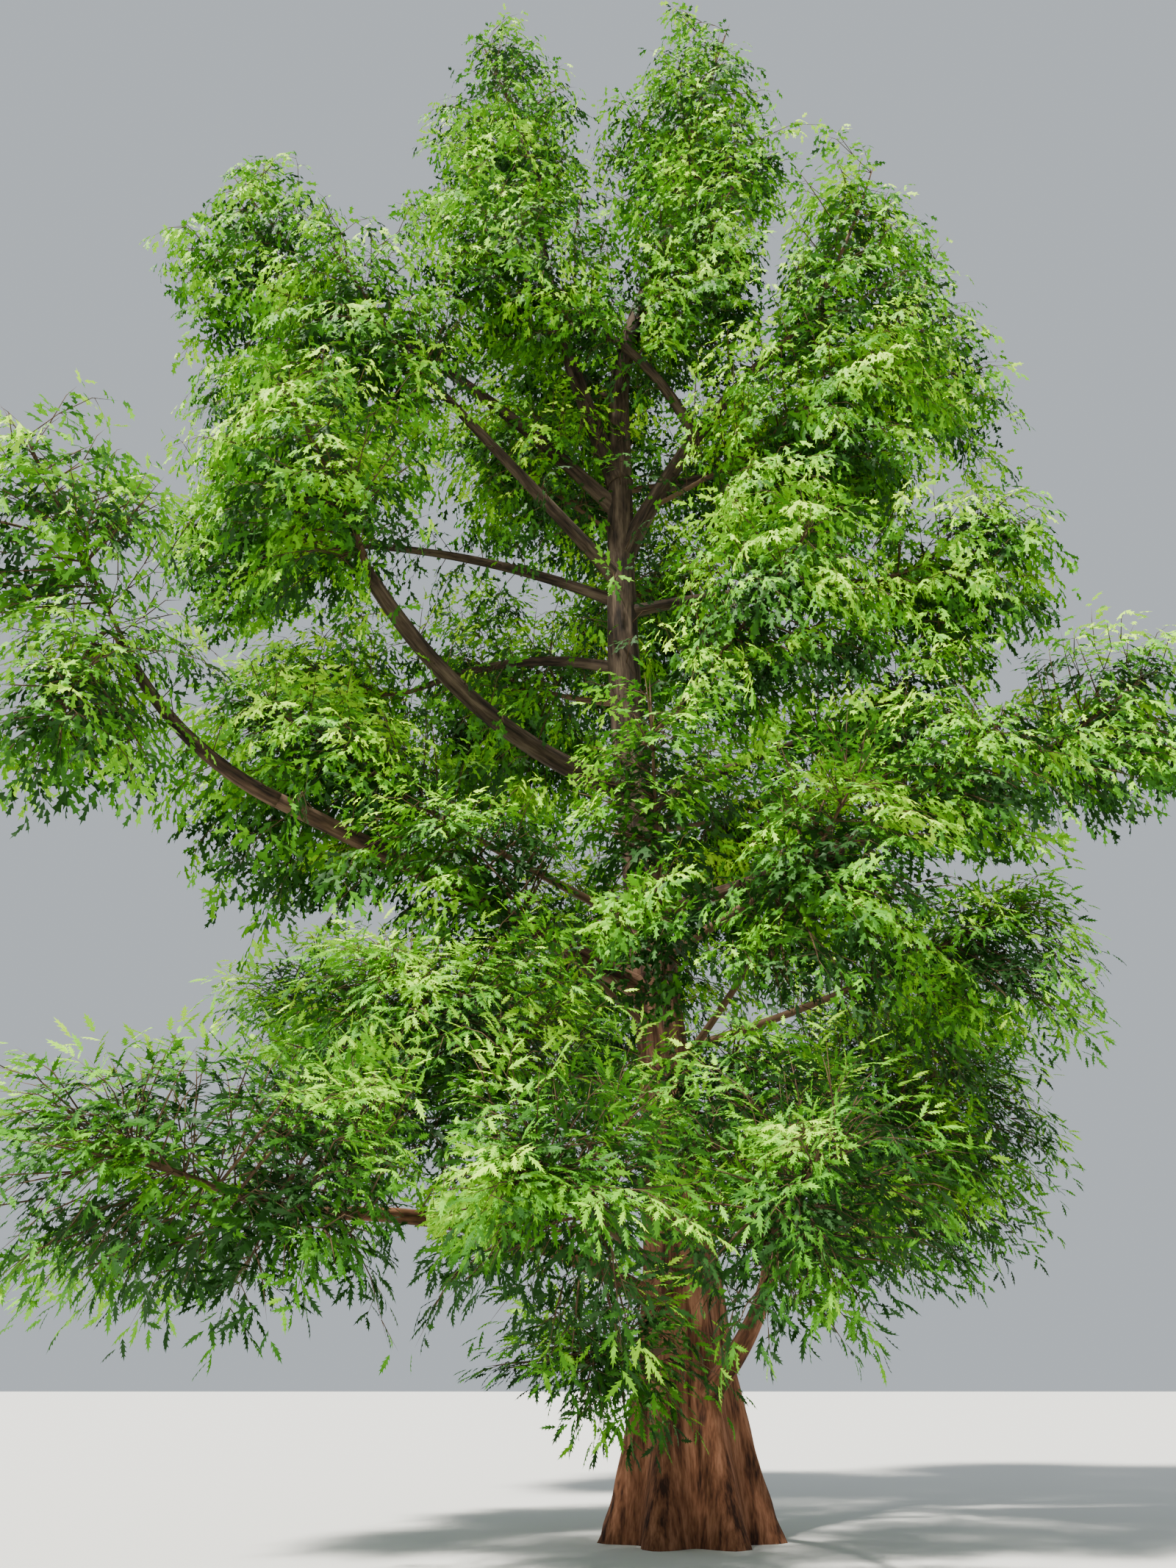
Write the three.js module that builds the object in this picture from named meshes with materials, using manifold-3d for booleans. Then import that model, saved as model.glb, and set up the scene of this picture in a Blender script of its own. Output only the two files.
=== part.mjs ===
// Dawn redwood: a tree of about 30 m with a fluted trunk, leaders, boughs and masses of foliage.
// The origin is the middle of the trunk's foot at ground level. +X is to the viewer's right,
// +Y leads away from the viewer and +Z is up. Sizes are in millimetres.
import * as THREE from 'three';
import { mergeVertices } from 'three/addons/utils/BufferGeometryUtils.js';
import Module from 'manifold-3d';

const wasm = await Module();
wasm.setup();

// One metre, so that the tables below can give a tree's sizes in metres
const M = 1000;
// Gap between a limb and what grows on from it
const CLEARANCE = 0.3;
// How much fatter than a stem the shape is that cuts its side limbs clear of it
const CUTTER_GROWTH = 0.5;
// The turn from each shoot to the next, in radians, and the same as a share of a whole turn
const GOLDEN_SHARE = 0.618034;
const GOLDEN_ANGLE = 2 * Math.PI * (1 - GOLDEN_SHARE);

// The trunk leans to the left up to its waist and swings back to the right near its top. Its
// foot spreads in flutes that fade out with height.
const TRUNK = {
  height: 23.4 * M,
  footRadius: 0.38 * M,
  taperHeight: 30 * M,
  taperPower: 0.8,
  flare: 0.57 * M,
  flareHeight: 1.8 * M,
  flutes: 7,
  fluteDepth: 0.17,
  fluteHeight: 2.6 * M,
  rows: 12,
  lean: { by: -0.62 * M, from: 2 * M, to: 13 * M },
  swing: { by: 1.35 * M, from: 17.5 * M, to: 24 * M },
};

// Each limb leaves a stem at a height, or goes on from a limb's end, and runs to a mass of foliage
// or to a bend. Its middle stands off the straight line by its bow, and it tapers from one
// thickness to the other. All are in metres, and places are given as right, away and up.
const LIMBS = [
  { name: 'leader_left', from: 'trunk', leaves: 15.6, to: 'top_left',
    bow: [-0.25, 0.05, 0], thick: [0.34, 0.16] },
  { name: 'leader_right', from: 'trunk', leaves: 14.0, to: 'upper_right',
    bow: [-0.1, 0, 0.3], thick: [0.32, 0.16] },
  { name: 'bough_crossing', from: 'leader_right', leaves: 16.4, to: 'shoulder',
    bow: [0, -0.35, 0.1], thick: [0.2, 0.12] },
  { name: 'bough_upper_left', from: 'trunk', leaves: 15.0, to: [-4.9, -0.4, 18.9],
    bow: [0, 0, 0.25], thick: [0.26, 0.14] },
  { name: 'bough_crest', from: 'trunk', leaves: 13.5, to: 'crest',
    bow: [0.1, 0, -0.1], thick: [0.26, 0.13] },
  { name: 'bough_left_high', from: 'trunk', leaves: 13.1, to: 'left_edge',
    bow: [0, 0.3, 0.5], thick: [0.2, 0.1] },
  { name: 'bough_left_back', from: 'trunk', leaves: 11.8, to: 'left_dark',
    bow: [0, 0.4, 0.6], thick: [0.2, 0.1] },
  { name: 'bough_bent_lower', from: 'trunk', leaves: 9.6, to: [-4.2, -2.4, 11.7],
    bow: [-0.2, 0, -0.45], thick: [0.32, 0.22] },
  { name: 'bough_bent_upper', from: 'bough_bent_lower', to: 'bend',
    thick: [0.22, 0.13] },
  { name: 'bough_long_inner', from: 'trunk', leaves: 6.4, to: [-5.0, -3.0, 8.0],
    bow: [0, 0, 0.05], thick: [0.3, 0.2] },
  { name: 'bough_long_outer', from: 'bough_long_inner', to: [-6.9, -3.9, 9.7],
    thick: [0.2, 0.12] },
  { name: 'bough_skirt', from: 'trunk', leaves: 2.3, to: 'skirt_left',
    bow: [0, -0.1, 0.3], thick: [0.24, 0.12] },
  { name: 'bough_right_edge', from: 'leader_right', leaves: 15.4, to: 'right_edge',
    bow: [0, 0.3, -0.3], thick: [0.18, 0.09] },
  { name: 'bough_right_middle', from: 'trunk', leaves: 12.9, to: 'right_middle',
    bow: [0, 0, 0.1], thick: [0.2, 0.1] },
  { name: 'bough_right_inner', from: 'trunk', leaves: 9.2, to: 'right_inner',
    bow: [0, 0, 0.1], thick: [0.2, 0.1] },
  { name: 'bough_right_far', from: 'trunk', leaves: 7.6, to: 'right_far',
    bow: [0, 0, -0.15], thick: [0.24, 0.11] },
  { name: 'bough_right_low', from: 'trunk', leaves: 4.3, to: 'right_low_back',
    bow: [0, 0, 0.1], thick: [0.2, 0.11] },
  { name: 'bough_foot', from: 'trunk', leaves: 1.2, to: 'skirt_right',
    bow: [0.3, 0.2, 0.15], thick: [0.3, 0.12] },
];

// Each mass of foliage grows from a limb's end, or leaves a stem at a height. The middle of its
// space is given as right, away and up, and its size as wide, deep and tall, in metres. Its stem
// ends high in the space, or low where it rises by nothing or less.
const MASSES = [
  { name: 'top_left', from: 'leader_left', rises: 0.75,
    middle: [-2.9, 0.3, 26.6], size: [3.5, 3.4, 7.8] },
  { name: 'top_right', from: 'trunk', rises: 0.75,
    middle: [1.1, 0.0, 26.2], size: [3.8, 3.7, 7.9] },
  { name: 'top_middle', from: 'trunk', leaves: 19.4,
    middle: [1.0, -0.9, 20.4], size: [3.7, 3.4, 6.3] },
  { name: 'shoulder', from: 'bough_crossing',
    middle: [-2.5, -1.1, 20.1], size: [4.5, 3.5, 5.4] },
  { name: 'heart_left', from: 'trunk', leaves: 14.4, rises: 0.3,
    middle: [-2.3, 0.9, 16.9], size: [3.7, 3.2, 3.6] },
  { name: 'upper_left', from: 'bough_upper_left',
    middle: [-7.0, -1.6, 20.0], size: [3.4, 3.4, 4.7] },
  { name: 'upper_back', from: 'bough_upper_left',
    middle: [-7.4, 1.6, 18.6], size: [3.6, 3.6, 4.8] },
  { name: 'crest', from: 'bough_crest',
    middle: [-4.9, -2.1, 17.5], size: [3.3, 3.1, 5.4] },
  { name: 'left_edge', from: 'bough_left_high',
    middle: [-7.2, 0.9, 15.4], size: [3.6, 3.6, 4.2] },
  { name: 'left_dark', from: 'bough_left_back',
    middle: [-5.6, 2.4, 12.8], size: [4.0, 3.5, 3.8] },
  { name: 'bend', from: 'bough_bent_upper',
    middle: [-5.0, -3.1, 13.3], size: [3.2, 3.0, 4.3] },
  { name: 'far_left_top', from: 'bough_long_outer',
    middle: [-7.7, -4.6, 11.2], size: [2.7, 2.6, 3.6] },
  { name: 'far_left_hanging', from: 'bough_long_outer', rises: -0.5,
    middle: [-6.9, -4.4, 8.6], size: [2.6, 2.4, 3.1] },
  { name: 'left_low', from: 'trunk', leaves: 7.4,
    middle: [-4.9, -1.7, 9.1], size: [3.8, 3.6, 3.6] },
  { name: 'left_bright', from: 'trunk', leaves: 5.8,
    middle: [-2.6, -2.4, 7.3], size: [2.8, 2.6, 1.9] },
  { name: 'left_under', from: 'trunk', leaves: 5.0, rises: 0.2,
    middle: [-4.2, -0.4, 6.0], size: [3.8, 3.4, 2.4] },
  { name: 'skirt_upper', from: 'trunk', leaves: 3.6,
    middle: [-2.7, -3.5, 4.8], size: [4.3, 3.4, 2.8] },
  { name: 'skirt_left', from: 'bough_skirt', rises: 0.1,
    middle: [-4.2, -6.2, 3.1], size: [4.2, 3.2, 2.3] },
  { name: 'skirt_front', from: 'trunk', leaves: 2.7, rises: 0.1,
    middle: [-1.4, -5.6, 3.0], size: [3.2, 3.2, 2.5] },
  { name: 'skirt_right', from: 'bough_foot', rises: 0.2,
    middle: [0.7, -5.0, 3.1], size: [3.0, 2.9, 2.5] },
  { name: 'foot', from: 'trunk', leaves: 2.0, rises: 0,
    middle: [-1.0, -3.2, 1.8], size: [2.6, 2.3, 1.5] },
  { name: 'plume', from: 'trunk', leaves: 4.2, rises: 0.8,
    middle: [-0.35, -2.9, 7.4], size: [2.5, 2.3, 5.2] },
  { name: 'upper_right', from: 'leader_right', rises: 0.7,
    middle: [3.5, -1.0, 20.0], size: [3.5, 3.6, 7.4] },
  { name: 'right_edge', from: 'bough_right_edge', rises: 0.7,
    middle: [5.7, 1.2, 20.6], size: [2.6, 2.8, 7.6] },
  { name: 'right_upper', from: 'leader_right', leaves: 15.0,
    middle: [2.8, -1.5, 15.6], size: [3.8, 3.4, 5.2] },
  { name: 'right_middle', from: 'bough_right_middle',
    middle: [4.6, -0.9, 13.1], size: [3.2, 3.4, 4.0] },
  { name: 'right_heart', from: 'trunk', leaves: 10.2,
    middle: [1.5, -2.5, 11.2], size: [3.2, 2.8, 4.2] },
  { name: 'right_inner', from: 'bough_right_inner',
    middle: [3.4, -0.7, 10.8], size: [3.4, 3.3, 3.0] },
  { name: 'right_far', from: 'bough_right_far',
    middle: [6.4, -1.1, 10.1], size: [3.3, 3.1, 3.4] },
  { name: 'right_bough', from: 'trunk', leaves: 6.9,
    middle: [3.7, -2.3, 8.7], size: [3.3, 3.0, 2.7] },
  { name: 'right_front', from: 'trunk', leaves: 5.2,
    middle: [1.6, -3.4, 6.8], size: [3.1, 2.7, 4.0] },
  { name: 'right_low', from: 'trunk', leaves: 5.6,
    middle: [3.7, -1.6, 6.3], size: [3.1, 3.1, 2.9] },
  { name: 'right_low_back', from: 'bough_right_low',
    middle: [3.6, 1.2, 4.9], size: [3.4, 3.1, 3.2] },
  { name: 'skirt_middle', from: 'trunk', leaves: 3.0,
    middle: [0.4, -2.7, 4.4], size: [2.9, 2.6, 2.5] },
];

// The side away from the viewer: masses on a rising spiral, whose reach follows a domed crown
const BACK = {
  count: 7,
  lowest: 5.6 * M,
  highest: 21.0 * M,
  firstHeading: 40,
  headingRange: 105,
  turn: 0.618,
  widestHeight: 9 * M,
  widestReach: 4.6 * M,
  domeHeight: 17 * M,
  size: [4.5, 4.3, 5.2],
  stemDrop: 0.16,
};

// How boughs and stems meet the masses' spaces. Two spaces keep a gap between them, a bough enters
// a space by a share of the way from its surface, and a stem ends at shares of its half size.
const SPACE = {
  gap: 24,
  groundGap: 120,
  entry: 0.85,
  headReach: 0.5,
  rises: 0.55,
  toothRoom: 1.1,
};

const STEM = {
  slimness: 0.015,
  thinnest: 48,
  tipRadius: 16,
  ends: { alone: 0.9, shared: 0.48 },
  samples: 24,
  bareSamples: 3,
  coveredEnd: 0.6,
};

// Twigs and sprays. A mass has a few sprays, and more of them by the square of its half size in
// metres. The longest spray is a share of that size. The shortest one is a share of the longest,
// and it falls from the first target to the last.
const TWIG = {
  every: 6,
  bare: 0.22,
  radii: [24, 14],
  sideAt: 0.7,
  sideTurn: [0.8, 1.1],
  sideLength: 0.85,
  slant: 0.35,
};
const SPRAY = {
  fewest: 3,
  forHalfSizeSquared: 1.08,
  targets: 140,
  longest: 1.4,
  shortest: [0.8, 0.42],
  width: 0.78,
  thickness: 0.035,
  droop: 0.09,
  roll: [0.3, 1.2],
  reachShare: 0.97,
  tries: 4,
  shorter: 0.86,
  ribRoom: 0.14,
};

// A spray's toothed outline in parts of its length and width, from its tip round to its tip, and
// the place of the ridge that makes it thick
const HALF_OUTLINE = [[0.77, 0.35], [0.56, 0.2], [0.43, 0.5]];
const OUTLINE = [
  [1, 0],
  ...HALF_OUTLINE,
  [0, 0],
  ...HALF_OUTLINE.map(([along, across]) => [along, -across]).reverse(),
];
const RIDGE_AT = 0.4;

const BARK_LOW = new THREE.Color(0x8a5a3c);
const BARK_HIGH = new THREE.Color(0x5a4a3a);
const LEAF_SHADE = new THREE.Color(0x3f7430);
const LEAF_LIGHT = new THREE.Color(0x86b545);

// A repeatable stream of numbers between 0 and 1
function seededRandom(seed) {
  let state = seed;
  return () => {
    state = (state * 16807) % 2147483647;
    return state / 2147483647;
  };
}

function fromMetres([right, away, up]) {
  return new THREE.Vector3(right, away, up).multiplyScalar(M);
}

// Curves and radii of the limbs

class TrunkAxis extends THREE.Curve {
  getPoint(t) {
    const height = t * TRUNK.height;
    const offsets = [TRUNK.lean, TRUNK.swing].map(({ by, from, to }) => (
      by * THREE.MathUtils.smoothstep(height, from, to)));
    return new THREE.Vector3(offsets[0] + offsets[1], 0, height);
  }
}

function trunkRadius(t, angle) {
  const height = t * TRUNK.height;
  const taper = TRUNK.footRadius * (1 - height / TRUNK.taperHeight) ** TRUNK.taperPower;
  const flare = TRUNK.flare * Math.exp(-height / TRUNK.flareHeight);
  const depth = TRUNK.fluteDepth * Math.exp(-height / TRUNK.fluteHeight);
  return (taper + flare) * (1 + depth * Math.cos(TRUNK.flutes * angle));
}

function evenTaper(startRadius, endRadius) {
  return (t) => startRadius + (endRadius - startRadius) * t;
}

// The point of a rising stem at a height, found by halving
function pointAtHeight(stem, height) {
  let low = 0;
  let high = 1;
  for (let step = 0; step < 40; step += 1) {
    const middle = (low + high) / 2;
    if (stem.curve.getPoint(middle).z < height) {
      low = middle;
    } else {
      high = middle;
    }
  }
  return stem.curve.getPoint(low);
}

// Solids

function plainGeometry(geometry) {
  geometry.deleteAttribute('normal');
  geometry.deleteAttribute('uv');
  return mergeVertices(geometry);
}

function toSolid(geometry) {
  return new wasm.Manifold(new wasm.Mesh({
    numProp: 3,
    vertProperties: new Float32Array(geometry.attributes.position.array),
    triVerts: new Uint32Array(geometry.index.array),
  }));
}

function largestPart(solid) {
  return solid.decompose().reduce((best, part) => (part.volume() > best.volume() ? part : best));
}

// The direction across a curve that lies in one plane
function acrossCurve(curve) {
  const start = curve.getPoint(0);
  const half = curve.getPoint(0.5).sub(start);
  const across = half.clone().cross(curve.getPoint(1).sub(start));
  if (across.length() < 1e-3 * half.lengthSq()) {
    const isUpright = Math.abs(half.z) > 0.8 * half.length();
    across.crossVectors(half, new THREE.Vector3(0, isUpright ? 1 : 0, isUpright ? 0 : 1));
  }
  return across.normalize();
}

// A closed limb: the rows of a cylinder are carried along the curve, each at its own radius
function loft({ curve, radiusAt, sides, rows, rowPower = 1 }, growth = 0) {
  const shape = plainGeometry(new THREE.CylinderGeometry(1, 1, 1, sides, rows));
  const place = shape.attributes.position;
  const across = acrossCurve(curve);
  for (let i = 0; i < place.count; i += 1) {
    const t = (place.getY(i) + 0.5) ** rowPower;
    const angle = Math.atan2(place.getZ(i), place.getX(i));
    const isCapMiddle = Math.hypot(place.getX(i), place.getZ(i)) < 0.5;
    const radius = isCapMiddle ? 0 : radiusAt(t, angle) + growth;
    const upright = across.clone().cross(curve.getTangent(t));
    const point = curve.getPoint(t)
      .addScaledVector(across, radius * Math.cos(angle))
      .addScaledVector(upright, radius * Math.sin(angle));
    place.setXYZ(i, point.x, point.y, point.z);
  }
  return toSolid(shape);
}

// A limb that leaves a stem's side starts at that stem's surface
function limbSolid(limb) {
  const whole = loft(limb);
  return limb.parent ? largestPart(whole.subtract(loft(limb.parent, CUTTER_GROWTH))) : whole;
}

// Where a point of a spray's outline lies, with the droop of its edges and tip
function sprayPoint({ root, direction, normal, length }, [along, across], ridge = 0) {
  const droop = SPRAY.droop * (along * along + across * across);
  return root.clone()
    .addScaledVector(direction, along * length)
    .addScaledVector(direction.clone().cross(normal), across * SPRAY.width * length)
    .addScaledVector(normal, (ridge - droop) * length);
}

// A spray of needles as a thin toothed blade: the ring of a ball becomes its outline, and the
// ball's poles become its ridges
function spraySolid(spray) {
  const ball = plainGeometry(new THREE.SphereGeometry(1, OUTLINE.length, 2));
  const place = ball.attributes.position;
  for (let i = 0; i < place.count; i += 1) {
    const turn = Math.atan2(place.getZ(i), place.getX(i)) / (2 * Math.PI);
    const corner = Math.round((turn + 1) * OUTLINE.length) % OUTLINE.length;
    const isPole = Math.abs(place.getY(i)) > 0.5;
    const point = isPole
      ? sprayPoint(spray, [RIDGE_AT, 0], place.getY(i) * SPRAY.thickness / 2)
      : sprayPoint(spray, OUTLINE[corner]);
    place.setXYZ(i, point.x, point.y, point.z);
  }
  return toSolid(ball);
}

// Spaces of the masses

// How far a mass's space reaches from its middle in a direction
function surfaceDistance(mass, direction) {
  return 1 / direction.clone().divide(mass.half).length();
}

// A plane half way between two masses' spaces, which the first one doesn't cross
function fenceBetween(mass, other) {
  const towards = other.middle.clone().sub(mass.middle);
  const apart = towards.length();
  towards.divideScalar(apart);
  const own = surfaceDistance(mass, towards);
  const theirs = surfaceDistance(other, towards);
  const place = (own + apart - theirs - SPACE.gap) / 2;
  return { normal: towards, offset: mass.middle.dot(towards) + place };
}

function isInside(mass, point) {
  const share = point.clone().sub(mass.middle).divide(mass.half);
  const isFenced = mass.fences.every(({ normal, offset }) => point.dot(normal) < offset);
  return isFenced && share.length() < SPACE.toothRoom;
}

// How far a ray from a point in a mass's space runs before it leaves that space
function reachInside(mass, point, direction) {
  const from = point.clone().sub(mass.middle).divide(mass.half);
  const step = direction.clone().divide(mass.half);
  const slope = from.dot(step);
  const root = Math.max(0, slope * slope - step.lengthSq() * (from.lengthSq() - 1));
  const reaches = mass.fences
    .filter(({ normal }) => direction.dot(normal) > 1e-6)
    .map(({ normal, offset }) => (offset - point.dot(normal)) / direction.dot(normal));
  return Math.min((Math.sqrt(root) - slope) / step.lengthSq(), ...reaches);
}

// Where a limb that is aimed at a mass's middle enters its space
function entryPoint(start, mass) {
  const towards = mass.middle.clone().sub(start).normalize();
  const depth = SPACE.entry * surfaceDistance(mass, towards);
  return mass.middle.clone().addScaledVector(towards, -depth);
}

// The straight pieces of a limb, each with its widest radius
function straightPieces(limb, count = 10) {
  return Array.from({ length: count }, (unused, i) => ({
    limb,
    start: limb.curve.getPoint(i / count),
    end: limb.curve.getPoint((i + 1) / count),
    radius: limb.radiusAt(i / count, 0) + SPACE.gap,
  }));
}

// True where a straight piece passes through the box round a spray: along it, across it and
// through its thickness
function meetsSpray(piece, { root, direction, normal, length }) {
  const halfWidth = SPRAY.width * length / 2;
  const edges = [
    [direction, 0, length],
    [direction.clone().cross(normal), -halfWidth, halfWidth],
    [normal, -SPRAY.droop * length, SPRAY.thickness * length],
  ];
  let enters = 0;
  let leaves = 1;
  for (const [axis, low, high] of edges) {
    const from = piece.start.clone().sub(root).dot(axis);
    const change = piece.end.clone().sub(root).dot(axis) - from || 1e-9;
    const crossings = [low - piece.radius, high + piece.radius].map((side) => (side - from) / change);
    enters = Math.max(enters, Math.min(...crossings));
    leaves = Math.min(leaves, Math.max(...crossings));
  }
  return enters <= leaves;
}

// The outer part of a spray's rib as a straight piece, with a share of the room round it
function ribOf(spray, room) {
  return {
    start: sprayPoint(spray, [RIDGE_AT, 0]),
    end: sprayPoint(spray, OUTLINE[0]),
    radius: room * SPRAY.ribRoom * spray.length,
  };
}

// A direction at right angles to another: upwards as far as it can be, then rolled by an angle
function rolledNormal(direction, roll) {
  const isUpright = Math.abs(direction.z) > 0.9;
  const up = new THREE.Vector3(0, isUpright ? 1 : 0, isUpright ? 0 : 1);
  const side = direction.clone().cross(up).normalize();
  return side.cross(direction).applyAxisAngle(direction, roll);
}

// Seeded rule of growth: sprays set off from the stem for targets that spread over the space's
// surface, until the mass has its number of them. Some targets get a twig with a second spray at
// its side, the others a spray straight from the stem, whose own end carries one too. A spray that
// would leave the space, touch a limb or come close to another one is tried shorter and then left
// out. Later targets may have shorter sprays that lie closer together.
function growMass(mass, pieces) {
  const random = seededRandom(mass.seed);
  const meanHalf = (mass.half.x + mass.half.y + mass.half.z) / 3;
  const enough = Math.round(SPRAY.fewest + SPRAY.forHalfSizeSquared * (meanHalf / M) ** 2);
  const longest = SPRAY.longest * (mass.half.x + mass.half.y) / 2;
  const nodes = Array.from({ length: STEM.samples + 1 }, (unused, i) => (
    mass.stem.curve.getPoint(i / STEM.samples)))
    .slice(STEM.bareSamples)
    .filter((point) => isInside(mass, point));
  const head = nodes[nodes.length - 1];
  const forward = head.clone().sub(nodes[0]).normalize();
  const otherLimbs = pieces.filter((piece) => piece.limb !== mass.stem);
  const twigs = [];
  const sprays = [];

  function nodeNearest(place) {
    return nodes.reduce((best, node) => (
      node.distanceTo(place) < best.distanceTo(place) ? node : best));
  }

  function addSpray(base, bare, direction, wanted, shortest, room) {
    const root = base.clone().addScaledVector(direction, bare);
    const side = random() < 0.5 ? -1 : 1;
    const normal = rolledNormal(direction, side * THREE.MathUtils.lerp(...SPRAY.roll, random()));
    let length = Math.min(wanted, reachInside(mass, root, direction) * SPRAY.reachShare);
    for (let attempt = 0; attempt < SPRAY.tries && length > shortest; attempt += 1) {
      const spray = { root, direction, normal, length };
      const obstacles = [...otherLimbs, ...sprays.map((other) => ribOf(other, room))];
      const withTwig = { ...spray, root: base, length: bare + length };
      const isFree = !obstacles.some((piece) => meetsSpray(piece, withTwig));
      if (isFree && OUTLINE.every((corner) => isInside(mass, sprayPoint(spray, corner)))) {
        sprays.push(spray);
        return spray;
      }
      length *= SPRAY.shorter;
    }
    return undefined;
  }

  const lastNode = nodeNearest(head.clone().addScaledVector(forward, -STEM.coveredEnd * longest));
  addSpray(lastNode, 0, head.clone().sub(lastNode).normalize(), longest, 0, 0);
  const firstTurn = 2 * Math.PI * random();
  for (let i = 0; i < SPRAY.targets && sprays.length < enough; i += 1) {
    const level = 1 - 2 * ((i * GOLDEN_SHARE + 0.5) % 1);
    const ring = Math.sqrt(1 - level * level);
    const turn = firstTurn + GOLDEN_ANGLE * i;
    const target = new THREE.Vector3(ring * Math.cos(turn), ring * Math.sin(turn), level)
      .multiply(mass.half)
      .add(mass.middle);
    const node = nodeNearest(target.clone().addScaledVector(forward, -TWIG.slant * meanHalf));
    const direction = target.clone().sub(node).normalize();
    const isTwig = i % TWIG.every === 1;
    const bareShare = isTwig ? TWIG.bare : 0;
    const bare = bareShare * reachInside(mass, node, direction);
    const sideTurn = (random() < 0.5 ? -1 : 1) * THREE.MathUtils.lerp(...TWIG.sideTurn, random());
    const progress = i / SPRAY.targets;
    const shortest = longest * (1 - bareShare) * THREE.MathUtils.lerp(...SPRAY.shortest, progress);
    const spray = addSpray(node, bare, direction, longest, shortest, 1 - progress);
    if (spray && isTwig) {
      twigs.push([node, sprayPoint(spray, [RIDGE_AT / 2, 0])]);
      const sideways = direction.clone().applyAxisAngle(spray.normal, sideTurn);
      const sideRoot = node.clone().lerp(spray.root, TWIG.sideAt);
      addSpray(sideRoot, 0, sideways, longest * TWIG.sideLength, shortest, 1 - progress);
    }
  }
  return { twigs, sprays };
}

function massSolid(mass, pieces) {
  const { twigs, sprays } = growMass(mass, pieces);
  const twigSolids = twigs.map(([start, end]) => loft({
    curve: new THREE.LineCurve3(start, end),
    radiusAt: evenTaper(...TWIG.radii),
    sides: 3,
    rows: 1,
  }));
  const parts = [limbSolid(mass.stem), ...twigSolids, ...sprays.map(spraySolid)];
  return largestPart(wasm.Manifold.union(parts).simplify(0.05));
}

// The tree's layout: the masses' spaces, then the limbs that run to them, then their own stems

const masses = new Map();
for (const { name, middle, size, ...growth } of MASSES) {
  const half = fromMetres(size).divideScalar(2);
  masses.set(name, { rises: SPACE.rises, ...growth, name, middle: fromMetres(middle), half });
}
for (let i = 0; i < BACK.count; i += 1) {
  const name = `back_${i + 1}`;
  const height = BACK.lowest + (BACK.highest - BACK.lowest) * i / (BACK.count - 1);
  const heading = BACK.firstHeading + BACK.headingRange * ((i * BACK.turn) % 1);
  const dome = Math.sqrt(1 - ((height - BACK.widestHeight) / BACK.domeHeight) ** 2);
  const middle = new THREE.Vector3(BACK.widestReach * dome, 0, height)
    .applyAxisAngle(new THREE.Vector3(0, 0, 1), THREE.MathUtils.degToRad(heading));
  const leaves = height * (1 - BACK.stemDrop) / M;
  const half = fromMetres(BACK.size).divideScalar(2);
  masses.set(name, { name, from: 'trunk', leaves, rises: SPACE.rises, middle, half });
}

const trunk = {
  name: 'trunk',
  curve: new TrunkAxis(),
  radiusAt: trunkRadius,
  sides: 2 * TRUNK.flutes,
  rows: TRUNK.rows,
  rowPower: 1.7,
};
const limbs = new Map([['trunk', trunk]]);

// What a row of the tables above aims at: its mass's middle, or a bend
function goalOf({ middle, to }) {
  return middle ?? masses.get(to)?.middle ?? fromMetres(to);
}

// The goals of all that goes on from a limb's end
function goalsOnEnd(limb) {
  return [...LIMBS, ...masses.values()]
    .filter(({ from, leaves }) => from === limb.name && leaves === undefined)
    .map(goalOf);
}

// Where a limb starts and the way it sets off: inside the stem that it leaves, or on a limb's end,
// where two that share the end stand side by side
function startOf({ from, leaves }, goal, radius) {
  const parent = limbs.get(from);
  if (leaves !== undefined) {
    return { parent, start: pointAtHeight(parent, leaves * M) };
  }
  const tangent = parent.curve.getTangent(1);
  const start = parent.curve.getPoint(1).addScaledVector(tangent, CLEARANCE);
  const goals = goalsOnEnd(parent);
  if (goals.length > 1) {
    const goalsMiddle = goals.reduce((sum, other) => sum.add(other), new THREE.Vector3())
      .divideScalar(goals.length);
    const sideways = goal.clone().sub(goalsMiddle).projectOnPlane(tangent).normalize();
    start.addScaledVector(sideways, radius + CLEARANCE);
  }
  return { start, tangent };
}

for (const row of LIMBS) {
  const [startRadius, endRadius] = row.thick.map((thickness) => thickness * M / 2);
  const mass = masses.get(row.to);
  const goal = goalOf(row);
  const { parent, start, tangent } = startOf(row, goal, startRadius);
  const end = mass ? entryPoint(start, mass) : goal;
  const via = tangent
    ? start.clone().addScaledVector(tangent, start.distanceTo(end) / 2)
    : start.clone().lerp(end, 0.5).addScaledVector(fromMetres(row.bow), 2);
  limbs.set(row.name, {
    name: row.name,
    parent,
    curve: new THREE.QuadraticBezierCurve3(start, via, end),
    radiusAt: evenTaper(startRadius, endRadius),
    sides: row.name.startsWith('leader') ? 8 : 6,
    rows: row.name.startsWith('leader') ? 6 : 4,
  });
}

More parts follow.
